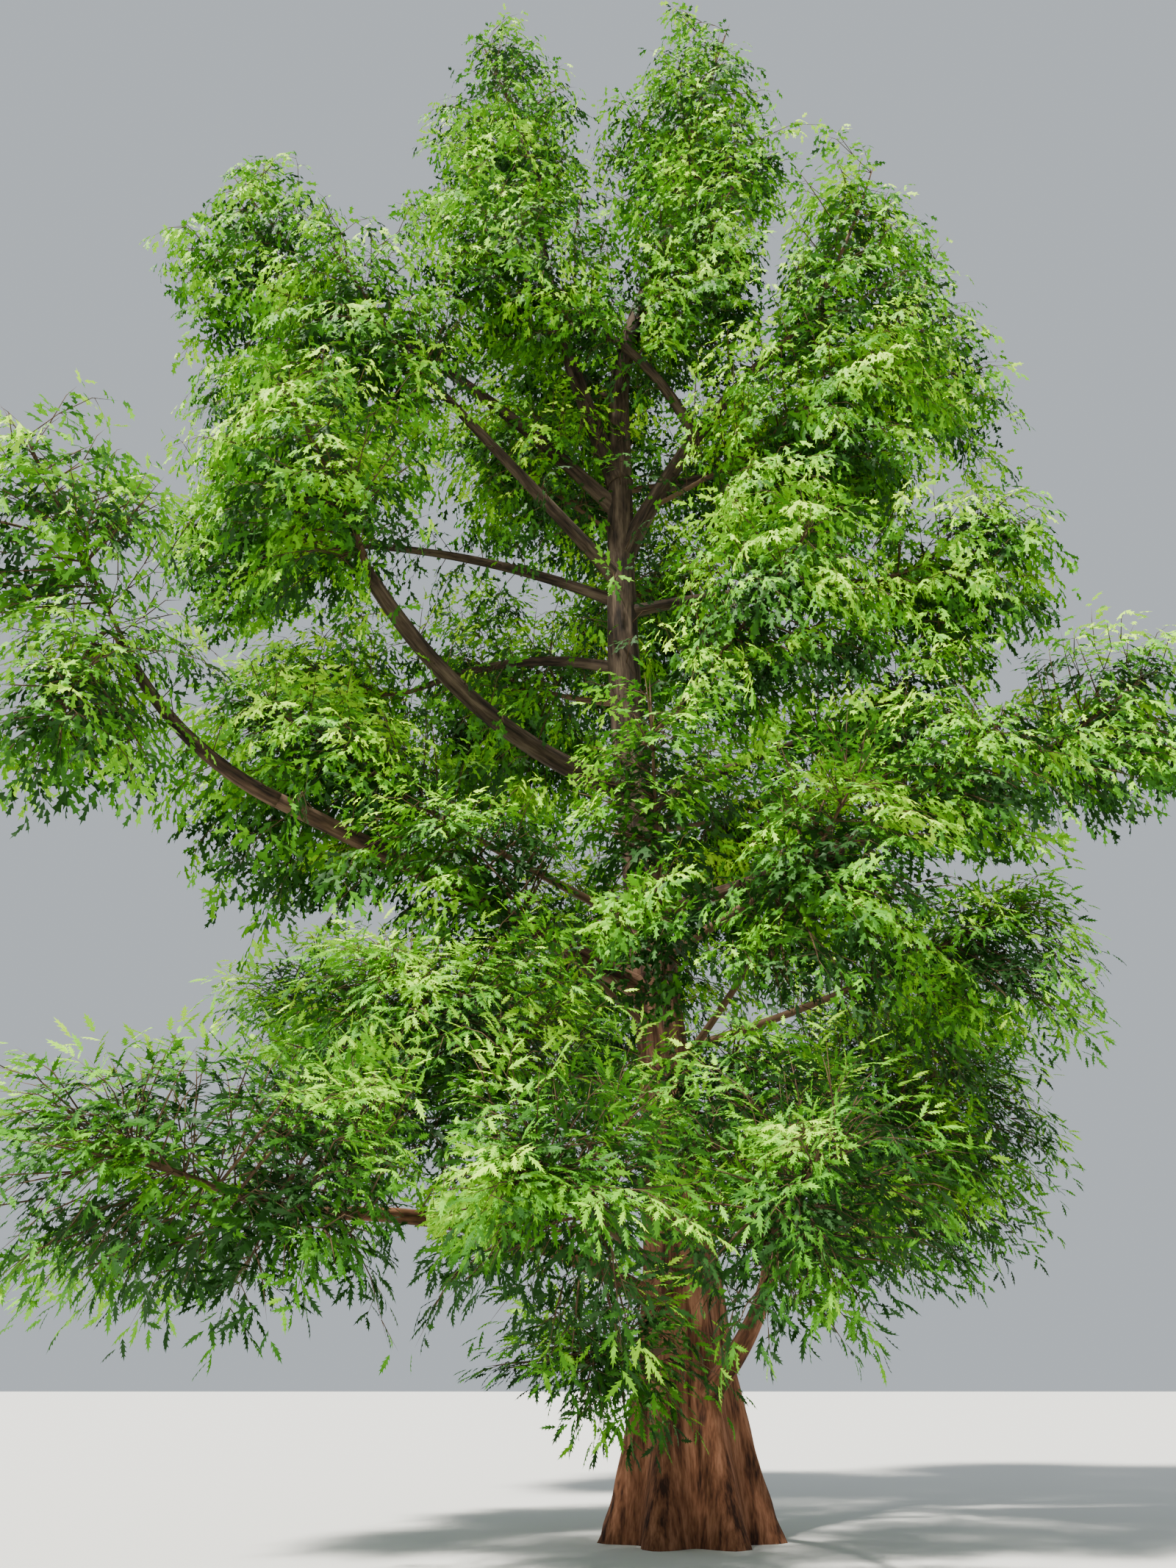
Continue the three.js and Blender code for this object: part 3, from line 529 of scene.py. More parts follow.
for index, mass in enumerate(masses.values()):
    mass.seed = 101 + 37 * index
    mass.near = [
        other for other in masses.values()
        if other is not mass
        and (other.middle - mass.middle).length < max(mass.half) + max(other.half)]
    planes = [fence_between(mass, other) for other in mass.near]
    mass.fences = np.array([*planes, [0, 0, -1, -SPACE.ground_gap]])
    mass.middle_array, mass.half_array = np.array(mass.middle), np.array(mass.half)


def is_inside(mass, points):
    """For each point, whether it lies in the mass's space."""
    share = np.linalg.norm((points - mass.middle_array) / mass.half_array, axis=-1)
    fenced = (points @ mass.fences[:, :3].T < mass.fences[:, 3]).all(axis=-1)
    return fenced & (share < SPACE.tooth_room)


def reach_inside(mass, point, direction):
    """How far a ray from a point in the space runs before it leaves the space."""
    start = (point - mass.middle_array) / mass.half_array
    step = direction / mass.half_array
    slope = start @ step
    root = max(0, slope * slope - step @ step * (start @ start - 1))
    nearing = mass.fences[:, :3] @ direction
    ahead = nearing > 1e-6
    reaches = (mass.fences[ahead, 3] - mass.fences[ahead, :3] @ point) / nearing[ahead]
    return min([(math.sqrt(root) - slope) / (step @ step), *reaches])


print("fences:", sum(len(mass.fences) for mass in masses.values()))

# %% [markdown]
# ## The rule of growth
#
# The rule is the solid model's. Fans of foliage set off from a mass's stem for targets that are
# spread evenly over its space, with a golden-angle turn from each to the next, as shoots on a
# real stem have. Some sit on a bare twig with a second fan at its side. A fan that would leave
# the space, touch a limb or come close to another one is tried shorter and then left out. The
# solid model stops after a few fans. Here the rule runs on through all its targets, so that the
# finer growth fills the same space.

# %% Numbers of the rule
TWIG = SimpleNamespace(
    every=6, bare=0.22, side_at=0.7, side_turn=(0.8, 1.1), side_length=0.85, slant=0.35)
FAN = SimpleNamespace(
    targets=140, longest=1.4, shortest=(0.8, 0.42), width=0.78, thickness=0.035, droop=0.09,
    roll=(0.3, 1.2), reach_share=0.97, tries=4, shorter=0.86, rib_room=0.14, rib_from=0.4)
FAN_OUTLINE = np.array([
    (1, 0), (0.77, 0.35), (0.56, 0.2), (0.43, 0.5), (0, 0), (0.43, -0.5), (0.56, -0.2),
    (0.77, -0.35)])


# %% Small helpers of the rule
def seeded_random(seed):
    """A repeatable stream of numbers between 0 and 1."""
    state = seed
    while True:
        state = state * 16807 % 2147483647
        yield state / 2147483647


def between(low, high, share):
    return low + (high - low) * share


def unit(vector):
    return vector / np.linalg.norm(vector)


def turned(vector, axis, angle):
    return (vector * math.cos(angle) + np.cross(axis, vector) * math.sin(angle)
            + axis * (axis @ vector) * (1 - math.cos(angle)))


def rolled_normal(direction, roll):
    upright = abs(direction[2]) > 0.9
    side = unit(np.cross(direction, (0, 1, 0) if upright else (0, 0, 1)))
    return turned(np.cross(side, direction), direction, roll)


def fan_points(fan, places):
    """Places on a fan, given along it and across it, with the droop of its edges and tip."""
    places = np.asarray(places, float)
    along, across = places[..., 0:1], places[..., 1:2]
    sideways = np.cross(fan.direction, fan.normal)
    return fan.root + fan.length * (
        along * fan.direction + across * FAN.width * sideways
        - FAN.droop * (along ** 2 + across ** 2) * fan.normal)


# %% Limbs as straight pieces, and the test against them
def straight_pieces(limb, count=10):
    points = np.array([limb.curve(i / count) for i in range(count + 1)])
    radii = np.array([[limb.radius_at(i / count, 0) + SPACE.gap] for i in range(count)])
    return np.hstack([points[:-1], points[1:], radii])


def meets_fan(pieces, root, direction, normal, length):
    """Whether any straight piece passes through the box round a fan."""
    if not len(pieces):
        return False
    half_width = FAN.width * length / 2
    edges = [(direction, 0, length), (np.cross(direction, normal), -half_width, half_width),
             (normal, -FAN.droop * length, FAN.thickness * length)]
    radius = pieces[:, 6]
    enters, leaves = np.zeros(len(pieces)), np.ones(len(pieces))
    for axis, low, high in edges:
        start = (pieces[:, :3] - root) @ axis
        change = (pieces[:, 3:6] - pieces[:, :3]) @ axis
        change[change == 0] = 1e-12
        first, second = (low - radius - start) / change, (high + radius - start) / change
        enters = np.maximum(enters, np.minimum(first, second))
        leaves = np.minimum(leaves, np.maximum(first, second))
    return bool((enters <= leaves).any())


stems_and_limbs = [*limbs.values(), *(mass.stem for mass in masses.values())]
pieces_of = {limb.name: straight_pieces(limb) for limb in stems_and_limbs}


# %% A mass's stem nodes, and the wood that its fans keep clear of
def prepare(mass):
    steps = [i / STEM.samples for i in range(STEM.bare_samples, STEM.samples + 1)]
    samples = np.array([mass.stem.curve(t) for t in steps])
    mass.nodes = samples[is_inside(mass, samples)]
    mass.forward = unit(mass.nodes[-1] - mass.nodes[0])
    others = np.vstack([pieces for name, pieces in pieces_of.items() if name != mass.stem.name])
    middles = (others[:, :3] + others[:, 3:6]) / 2
    around = max(mass.half) * SPACE.tooth_room + SPACE.lookout
    mass.others = others[np.linalg.norm(middles - mass.middle_array, axis=1) < around]
    mass.random = seeded_random(mass.seed)
    mass.fans = []


def node_nearest(mass, place):
    return mass.nodes[np.argmin(np.linalg.norm(mass.nodes - place, axis=1))]


# %% Add one fan
def coin(random):
    return -1 if next(random) < 0.5 else 1


def add_fan(mass, base, bare, direction, wanted, shortest, room):
    """Adds the longest fan out of a few that keeps to the space and clear of wood, if any does."""
    side = coin(mass.random)
    normal = rolled_normal(direction, side * between(*FAN.roll, next(mass.random)))
    root = base + direction * bare
    length = min(wanted, reach_inside(mass, root, direction) * FAN.reach_share)
    for _ in range(FAN.tries):
        if length <= shortest:
            return None
        fan = SimpleNamespace(root=root, direction=direction, normal=normal, length=length, base=base)
        ribs = [[*fan_points(other, (FAN.rib_from, 0)), *fan_points(other, (1, 0)),
                 room * FAN.rib_room * other.length] for other in mass.fans]
        obstacles = np.vstack([mass.others, ribs]) if ribs else mass.others
        if (not meets_fan(obstacles, base, direction, normal, bare + length)
                and is_inside(mass, fan_points(fan, FAN_OUTLINE)).all()):
            mass.fans.append(fan)
            return fan
        length *= FAN.shorter
    return None


# %% Grow the fans of every mass
def grow_fans(mass):
    mean_half = sum(mass.half) / 3
    longest = FAN.longest * (mass.half.x + mass.half.y) / 2
    last_node = node_nearest(mass, mass.nodes[-1] - mass.forward * STEM.covered_end * longest)
    add_fan(mass, last_node, 0, unit(mass.nodes[-1] - last_node), longest, 0, 0)
    first_turn = 2 * math.pi * next(mass.random)
    for i in range(FAN.targets):
        level = 1 - 2 * ((i * GOLDEN_SHARE + 0.5) % 1)
        ring = math.sqrt(1 - level * level)
        turn = first_turn + GOLDEN_ANGLE * i
        on_ball = (ring * math.cos(turn), ring * math.sin(turn), level)
        target = mass.middle_array + mass.half_array * on_ball
        node = node_nearest(mass, target - mass.forward * TWIG.slant * mean_half)
        direction = unit(target - node)
        bare_share = TWIG.bare if i % TWIG.every == 1 else 0
        bare = bare_share * reach_inside(mass, node, direction)
        side_turn = coin(mass.random) * between(*TWIG.side_turn, next(mass.random))
        progress = i / FAN.targets
        shortest = longest * (1 - bare_share) * between(*FAN.shortest, progress)
        fan = add_fan(mass, node, bare, direction, longest, shortest, 1 - progress)
        if fan and bare_share:
            sideways = turned(direction, fan.normal, side_turn)
            side_root = node + (fan.root - node) * TWIG.side_at
            side_length = longest * TWIG.side_length
            add_fan(mass, side_root, 0, sideways, side_length, shortest, 1 - progress)


for mass in masses.values():
    prepare(mass)
    grow_fans(mass)
fan_counts = [len(mass.fans) for mass in masses.values()]
print("fans:", sum(fan_counts), "in all, from", min(fan_counts), "to", max(fan_counts), "in a mass")

# %% [markdown]
# ## From fans to fronds
#
# On the real tree a fan is a small branch. Its rib carries twigs, and the twigs carry fronds:
# arched ribs with short leafy sprays in two ranks. The finer growth follows the same idea as the
# coarse one. Places are spread evenly through a mass's space, and for each place a frond sets off
# from the wood that lies behind it, so that every leaf hangs on something. Fronds near the stem
# grow first, and later ones may set off from them.
#
# Filled evenly, a mass would look like a cloud. A real crown is made of clumps with small gaps
# between them, so smooth noise says where the clumps are. They swell a little past the space, and
# the gaps cut into it. Neighbouring masses also fill the gap between their spaces, each up to its
# fences. The highest masses narrow to a point, as young tops do. The inside, which hardly shows,
# is thinned and gets coarser sprays.

# %% Numbers of the fronds
# Lengths are in metres. Of most pairs here and below, the first number holds for the shady masses
# low down and the second for the sunny ones high up. Of coarse, the first holds deep inside and
# the second at the surface, and the two of filled and ragged hold for round and pointed masses.
FROND = SimpleNamespace(
    room=(0.041, 0.094), step=0.7, back=0.25, shortest=0.35, leafy=1.15, least_bare=0.12,
    inner=0.25, margin=0.06, arch=0.10, hang=(0.02, 0.24), tilt=0.36, outward=0.7,
    coarse=(1.5, 0.92), coarse_until=(0.3, 0.9), fan_roots=(0.2, 0.45, 0.7, 0.95), fan_start=0.25,
    points=3, radius=0.009, tip_radius=0.003)
SHADY = SimpleNamespace(low=5.0, high=12.0)
CLUMPS = SimpleNamespace(
    per_metre=1.2, least=-0.07, filled=(0.55, 0.42), outer=0.93, ragged=(1.0, 1.9), furthest=1.14,
    bridge=1.36, room=0.2, hidden=0.6, hidden_kept=0.5)
POINTED = SimpleNamespace(share=0.7, slim=0.27, deeper=0.45, low=14.0, high=25.0)
# Powers of this number spread places evenly in space, as the golden share does along a line.
EVEN_STEP = 1.2207440846
lowest, highest = np.array(cad_box)
chance = np.random.default_rng(20)


# %% How far out a place lies, and whose it is
def unit_rows(vectors):
    return vectors / np.linalg.norm(vectors, axis=-1, keepdims=True)


def share_of(mass, points):
    """How far out points lie in a mass's space: 0 in its middle and 1 at its surface."""
    shares = (points - mass.middle_array) / mass.half_array
    shares[..., 2] *= np.where(shares[..., 2] < 0, 1 - POINTED.deeper * mass.pointed, 1)
    taper = (1 - mass.pointed * np.clip(shares[..., 2:], -1, 1)) / (1 + POINTED.slim * mass.pointed)
    shares[..., :2] /= taper
    return np.linalg.norm(shares, axis=-1)


def keeps_to(mass, points, outer, bridge, margin=0):
    """Whether points lie in a mass's space, or beyond it in a gap that a neighbour reaches too."""
    share = share_of(mass, points)
    in_gap = np.any([share_of(other, points) < bridge for other in mass.near], axis=0)
    fenced = (points @ mass.fences[:, :3].T < mass.fences[:, 3] - margin).all(axis=-1)
    return fenced & ((share < outer) | ((share < bridge) & in_gap))


def clump_noise(places):
    """Smooth noise at each place, high in a clump and low between clumps."""
    return np.array([noise.noise(Vector(place * CLUMPS.per_metre)) for place in places])


# %% Spread places for fronds
def spread_places(mass):
    """Places spread evenly through a mass's space, the ones nearest to its stem first."""
    volume = 8 * np.prod(mass.half_array) * CLUMPS.bridge ** 3
    room = between(*FROND.room, mass.lightness)
    numbers = np.arange(1, round(volume / room) + 1)[:, None]
    shares = (chance.random(3) + numbers / EVEN_STEP ** np.arange(1, 4)) % 1
    places = mass.middle_array + mass.half_array * (2 * shares - 1) * CLUMPS.bridge
    share = share_of(mass, places)
    clump = clump_noise(places)
    wildness = mass.pointed / POINTED.share
    filled = between(*CLUMPS.filled, wildness)
    outer = np.clip(CLUMPS.outer + between(*CLUMPS.ragged, wildness) * clump, filled, CLUMPS.furthest)
    kept = keeps_to(mass, places, outer, CLUMPS.bridge, FROND.margin) & (share > FROND.inner)
    kept &= (clump > CLUMPS.least) | (share < filled)
    kept &= (share > CLUMPS.hidden) | (chance.random(len(places)) < CLUMPS.hidden_kept)
    kept &= ((places > lowest) & (places < highest)).all(axis=1)
    places = places[kept]
    away = np.linalg.norm(places[:, None] - mass.nodes[None], axis=2)
    order = np.argsort(away.min(axis=1))
    return places[order], mass.nodes[np.argmin(away, axis=1)][order]


def arched(start, end, steps, lightness):
    """Points on a rib that rises from its start and hangs at its end."""
    length = np.linalg.norm(end - start)
    rise = FROND.arch * 4 * steps * (1 - steps) - between(*FROND.hang, lightness) * steps ** 3
    return start + (end - start) * steps[:, None] + np.array([0, 0, 1]) * (rise * length)[:, None]


# %% Grow the fronds of every mass
def grow_fronds(mass):
    """The ribs of a mass's fronds, each with the share of it that is bare and its coarseness."""
    steps = np.linspace(0, 1, FROND.points)
    root_places = [(k, 0) for k in FROND.fan_roots]
    wood = [mass.nodes] + [fan_points(fan, root_places) for fan in mass.fans]
    wood = list(np.concatenate(wood))
    places, stem_places = spread_places(mass)
    rib_places = [(k, 0) for k in np.linspace(FROND.fan_start, 1, FROND.points)]
    fronds = [
        (fan_points(fan, rib_places), FROND.least_bare, FROND.coarse[1]) for fan in mass.fans]
    for place, stem_place in zip(places, stem_places):
        outward = unit(place - stem_place)
        behind = place - outward * FROND.step - mass.forward * FROND.back
        known = np.array(wood)
        root = known[np.argmin(((known - behind) ** 2).sum(axis=1))]
        length = np.linalg.norm(place - root)
        if length < FROND.shortest:
            continue
        rib = arched(root, place, steps, mass.lightness)
        bare = max(FROND.least_bare, 1 - FROND.leafy / length)
        coarse = between(*FROND.coarse, smooth_step(share_of(mass, place), *FROND.coarse_until))
        fronds.append((rib, bare, coarse))
        wood += list(rib[1:-1])
    return fronds


for mass in masses.values():
    mass.lightness = smooth_step(mass.middle.z, SHADY.low, SHADY.high)
    mass.pointed = POINTED.share * smooth_step(mass.middle.z, POINTED.low, POINTED.high)
for mass in masses.values():
    mass.fans = [fan for fan in mass.fans if share_of(mass, fan_points(fan, (1, 0))) < CLUMPS.furthest]
    mass.fronds = grow_fronds(mass)
print("fronds:", sum(len(mass.fronds) for mass in masses.values()))

# %% [markdown]
# ## Side twigs and sprays
#
# A frond's side twigs leave its rib in turn to the left and to the right, and are longest in its
# middle. They tilt and hang by chance angles, which turns the flat frond into a soft, domed clump
# with a fringe. A spray is larger than life here, 0.2 to 0.3 m at the surface of the crown
# instead of about 0.1 m, so that a million triangles fill it.

# %% Numbers of side twigs and sprays
# The pairs lengths and sags are ranges that chance picks a factor from.
SIDE_TWIG = SimpleNamespace(
    spacing=0.135, last=0.97, slope_step=0.05, lean=0.95, lean_chance=0.2, last_lean=0.15, tilt=0.4,
    sag=(0.08, 0.45), reach=0.40, leafy_steps=[0, 0.3, 0.6, 1], widths=[0.55, 0.95, 1.0, 0.5],
    lengths=(0.8, 1.15), radius=0.005, shortest=0.12, drawn=0.29)
SPRAY = SimpleNamespace(
    spacing=(0.079, 0.095), first=0.8, length=(0.225, 0.29), lengths=(0.75, 1.15), shortened=0.15,
    lean=0.75, straightened=0.8, sag=(0.08, 0.55), sags=(0.1, 1.3), jitter=0.15, tumble=0.36,
    tone_out=0.5, least_gap=0.02, beyond_box=0.025)
DOWN = np.array([0, 0, -1.0])


# %% Grow the side twigs of a frond
def along_rib(rib, along):
    """Points on a rib at shares of the way along it."""
    steps = np.linspace(0, 1, len(rib))
    return np.stack([np.interp(along, steps, rib[:, k]) for k in range(3)], axis=1)


def grow_side_twigs(rib, bare, normal, lightness):
    """A frond's side twigs: their starts, ways and lengths, and how far out each one leaves."""
    length = np.linalg.norm(rib[-1] - rib[0])
    count = max(3, round(length * (SIDE_TWIG.last - bare) / SIDE_TWIG.spacing))
    along = np.linspace(bare, SIDE_TWIG.last, count)
    ahead = unit_rows(along_rib(rib, along + SIDE_TWIG.slope_step)
                      - along_rib(rib, along - SIDE_TWIG.slope_step))
    sideways = unit_rows(np.cross(ahead, normal)) * np.where(np.arange(count) % 2, 1, -1)[:, None]
    lean = SIDE_TWIG.lean + chance.uniform(-SIDE_TWIG.lean_chance, SIDE_TWIG.lean_chance, count)
    lean[-1] = SIDE_TWIG.last_lean
    tilt = chance.uniform(-SIDE_TWIG.tilt, SIDE_TWIG.tilt, count)
    ways = (ahead * np.cos(lean)[:, None] + sideways * (np.sin(lean) * np.cos(tilt))[:, None]
            + normal * (np.sin(lean) * np.sin(tilt))[:, None])
    ways = unit_rows(ways + DOWN * between(*SIDE_TWIG.sag, lightness))
    leafy = (along - bare) / (1 - bare)
    width = np.interp(leafy, SIDE_TWIG.leafy_steps, SIDE_TWIG.widths)
    lengths = SIDE_TWIG.reach * min(length, FROND.leafy) * width * chance.uniform(*SIDE_TWIG.lengths, count)
    return along_rib(rib, along), ways, np.maximum(lengths, SIDE_TWIG.shortest), leafy


# %% Grow the sprays of a frond
def grow_sprays(rib, bare, coarse, outward, lightness):
    """A frond's side twigs, and its sprays' roots, ways, facings, sizes and tones."""
    normal = unit(np.array([0, 0, 1]) + FROND.outward * outward + chance.normal(0, FROND.tilt, 3))
    starts, twig_ways, lengths, leafy = grow_side_twigs(rib, bare, normal, lightness)
    ends = starts + twig_ways * lengths[:, None]
    spacing = coarse * between(*SPRAY.spacing, lightness)
    number = np.maximum(2, np.round(lengths / spacing)).astype(int)
    twig = np.repeat(np.arange(len(number)), number)
    place = np.concatenate([np.arange(n) for n in number])
    share = (place + SPRAY.first) / number[twig]
    roots = starts[twig] + (ends - starts)[twig] * share[:, None]
    turn = np.where(place % 2, 1, -1) * SPRAY.lean * (1 - SPRAY.straightened * share ** 4)
    across = unit_rows(np.cross(normal, twig_ways))[twig]
    ways = twig_ways[twig] * np.cos(turn)[:, None] + across * np.sin(turn)[:, None]
    sag = between(*SPRAY.sag, lightness)
    ways += DOWN * (sag * chance.uniform(*SPRAY.sags, len(twig)))[:, None]
    ways = unit_rows(ways + chance.normal(0, SPRAY.jitter, ways.shape))
    facing = unit_rows(normal + chance.normal(0, SPRAY.tumble, ways.shape))
    sizes = coarse * between(*SPRAY.length, lightness) * chance.uniform(*SPRAY.lengths, len(twig))
    sizes *= 1 - SPRAY.shortened * share
    tones = chance.normal(0, 1) + SPRAY.tone_out * (leafy[twig] - 0.5)
    return np.stack([starts, ends], axis=1), roots, ways, facing, sizes, tones


# %% Keep sprays clear of the limbs
def clear_of_limbs(places, room):
    """For each place, whether it is further from every limb than the limb's radius and some room."""
    clear = np.ones(len(places), bool)
    for limb in limbs.values():
        for piece in pieces_of[limb.name]:
            start, along = piece[:3], piece[3:6] - piece[:3]
            share = np.clip((places - start) @ along / (along @ along), 0, 1)
            gap = np.linalg.norm(places - start - share[:, None] * along, axis=1)
            clear &= gap > piece[6] - SPACE.gap + room
    return clear


# %% Grow the side twigs and sprays of every mass
beyond = SPRAY.beyond_box * (highest - lowest)
spray_limits = CLUMPS.furthest + CLUMPS.room, CLUMPS.bridge + CLUMPS.room


def dress(group, inside):
    """Gives a group of fronds its side twigs and the sprays that stay inside and clear of limbs."""
    grown = [
        grow_sprays(rib, bare, coarse, unit(rib[-1] - group.middle_array), group.lightness)
        for rib, bare, coarse in group.fronds]
    twigs, roots, ways, facing, sizes, tones = (np.concatenate(part) for part in zip(*grown))
    tips = roots + ways * sizes[:, None]
    kept = inside(roots) & inside(tips) & clear_of_limbs((roots + tips) / 2, SPRAY.least_gap)
    kept &= ((tips > lowest - beyond) & (tips < highest + beyond)).all(axis=1)
    drawn = np.linalg.norm(twigs[:, 1] - twigs[:, 0], axis=1) > SIDE_TWIG.drawn
    group.side_twigs = twigs[drawn & inside(twigs[:, 1])]
    group.sprays = roots[kept], ways[kept], facing[kept], sizes[kept], tones[kept]


for mass in masses.values():
    dress(mass, lambda points, mass=mass: keeps_to(mass, points, *spray_limits))
print("drawn side twigs:", sum(len(mass.side_twigs) for mass in masses.values()))
print("sprays in masses:", sum(len(mass.sprays[0]) for mass in masses.values()))

# %% [markdown]
# ## Shoots on the wood
#
# Dawn redwoods also bear short hanging shoots on their trunk and boughs, so the wood in the crown
# is never quite bare. They leave it a golden angle apart, as the fans do, and are dressed as
# fronds are. In the open middle of the crown they are shorter, and near the ground there are none.

# %% Grow the shoots
SHOOTS = SimpleNamespace(
    gap=0.17, lengths=(0.45, 1.0), on_trunk=(0.13, 1.0), on_limb=(0.3, 0.98), on_stem=(0.05, 0.5),
    sunk=0.8, ahead=0.45, hang=0.25, bare=0.2, lowest=2.4, longer=1.7, open_from=8.0,
    open_to=20.5, lightness=0.7)


def grow_shoots(limb, low, high):
    """Short hanging fronds along a limb, as grow_fronds gives them."""
    reach = (limb.curve(1) - limb.curve(0)).length
    across = across_curve(limb.curve)
    steps = np.linspace(0, 1, FROND.points)
    fronds = []
    for i in range(int((high - low) * reach / SHOOTS.gap)):
        t = low + (i + chance.random()) * SHOOTS.gap / reach
        turn = GOLDEN_ANGLE * i
        ahead = tangent(limb, t)
        outward = across * math.cos(turn) + across.cross(ahead) * math.sin(turn)
        start = np.array(limb.curve(t) + outward * limb.radius_at(t, turn) * SHOOTS.sunk)
        way = unit(np.array(outward + ahead * SHOOTS.ahead) + DOWN * SHOOTS.hang)
        longer = 1 if SHOOTS.open_from < start[2] < SHOOTS.open_to else SHOOTS.longer
        end = start + way * chance.uniform(*SHOOTS.lengths) * longer
        fronds.append((arched(start, end, steps, 1), SHOOTS.bare, 1))
    return fronds


shoots = SimpleNamespace(
    lightness=SHOOTS.lightness, middle_array=(lowest + highest) / 2,
    half_array=(highest - lowest) / 2)
shoots.fronds = grow_shoots(limbs["trunk"], *SHOOTS.on_trunk)
for row in LIMBS:
    shoots.fronds += grow_shoots(limbs[row.name], *SHOOTS.on_limb)
for mass in masses.values():
    if mass.middle.z > SHADY.high:
        shoots.fronds += grow_shoots(mass.stem, *SHOOTS.on_stem)
shoots.fronds = [frond for frond in shoots.fronds if frond[0][-1, 2] > SHOOTS.lowest]
dress(shoots, lambda points: points[:, 2] > SHOOTS.lowest)
print("sprays on shoots:", len(shoots.sprays[0]))

# %% [markdown]
# ## Sprays as one mesh
#
# A real spray has some fifty narrow needles in two rows. Here it is a feather of a few broad ones:
# a narrow blade along the rib and pairs of needles beside it, four pairs low down, where it is
# seen from close by, and two higher up. Placing a hundred thousand objects would be slow, so one
# feather's corners are worked out once, carried to every spray's place by array sums, and joined
# into a few large meshes.
#
# Each spray gets one of the greens, which paint light and shade: painted sunlight makes them
# lighter towards the top, the front, the left and the outside of its mass, in each clump and on
# its upper side, and painted shade makes them darker inside, below, at the back, between clumps
# and low down, with some chance in it.

# %% The feather
BLADE = SimpleNamespace(half_width=0.095, widest=0.5, tip=1.05, lowered=0.01)
NEEDLE = SimpleNamespace(last=0.8, sweep=0.17, droop=0.05)
SPRAY_DROOP = 0.16


def feather(reaches):
    """The corners of a spray 1 long, as along, across and up, and its triangles."""
    rib = np.linspace(0, NEEDLE.last, len(reaches) + 1)
    corners = [(place, 0, -SPRAY_DROOP * place ** 2) for place in rib]
    triangles = []
    for i, reach in enumerate(reaches):
        middle = (rib[i] + rib[i + 1]) / 2 + NEEDLE.sweep
        for side in (1, -1):
            tip = len(corners)
            corners.append((middle, side * reach, -SPRAY_DROOP * middle ** 2 - NEEDLE.droop))
            triangles.append((i + 1, i, tip) if side < 0 else (i, i + 1, tip))
    last = len(corners)
    for place, side in ((0, 0), (BLADE.widest, -1), (BLADE.widest, 1), (BLADE.tip, 0)):
        corners.append((place, side * BLADE.half_width, -SPRAY_DROOP * place ** 2 - BLADE.lowered))
    triangles += [(last, last + 1, last + 2), (last + 1, last + 3, last + 2)]
    return np.array(corners), np.array(triangles)


near_feather = feather([0.14, 0.18, 0.17, 0.12])
far_feather = feather([0.20, 0.19])
print("triangles in a spray:", len(near_feather[1]), "low down and", len(far_feather[1]), "high up")


# %% Join sprays
def joined_mesh(name, corners, triangles, materials, material_of_face=None):
    """A mesh from arrays of corners and triangles."""
    mesh = bpy.data.meshes.new(name)
    mesh.vertices.add(len(corners))
    mesh.vertices.foreach_set("co", corners.astype(np.float32).ravel())
    mesh.loops.add(triangles.size)
    mesh.loops.foreach_set("vertex_index", triangles.astype(np.int32).ravel())
    mesh.polygons.add(len(triangles))
    mesh.polygons.foreach_set("loop_start", np.arange(0, triangles.size, 3, dtype=np.int32))
    for material in materials:
        mesh.materials.append(material)
    if material_of_face is not None:
        mesh.polygons.foreach_set("material_index", material_of_face.astype(np.int32))
    mesh.update(calc_edges=True)
    mesh.validate()
    piece = bpy.data.objects.new(name, mesh)
    bpy.context.collection.objects.link(piece)
    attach(piece, "root")
    return piece


# %% Deal out the greens
# The greens paint light and shade. Middle is the mean. Up, away, right and outside lean it lighter towards
# a mass's top, front, left and outside, as the sun lights them, and outside adds nothing at even_at. Shaded
# darkens the low masses as painted shade. Tuft, tuft_top and above paint light on the clumps and on their
# upper sides, with the tops sampled above metres up. Tone and chance add the needles' own variation.
SUNNY = SimpleNamespace(
    middle=0.41, up=0.22, away=0.10, right=0.06, outside=0.36, even_at=0.75, shaded=0.16,
    tuft=0.32, tuft_top=0.6, above=0.35, tone=0.06, chance=0.07)


def green_with_painted_light(mass):
    """The number of the green for each of a mass's sprays, which paints light and shade on them."""
    roots, tones = mass.sprays[0], mass.sprays[4]
    share = (roots - mass.middle_array) / mass.half_array
    far_out = np.linalg.norm(share, axis=1)
    tuft, above = clump_noise(roots), clump_noise(roots + (0, 0, SUNNY.above))
    sunny = SUNNY.middle + SUNNY.up * share[:, 2] - SUNNY.away * share[:, 1] - SUNNY.right * share[:, 0]
    sunny += SUNNY.outside * (far_out - SUNNY.even_at) - SUNNY.shaded * (1 - mass.lightness)
    sunny += (SUNNY.tuft * tuft + SUNNY.tuft_top * (tuft - above) + SUNNY.tone * tones
              + chance.normal(0, SUNNY.chance, len(roots)))
    return np.clip(np.floor(sunny * len(GREENS_SHADE_TO_SUN)), 0, len(GREENS_SHADE_TO_SUN) - 1)


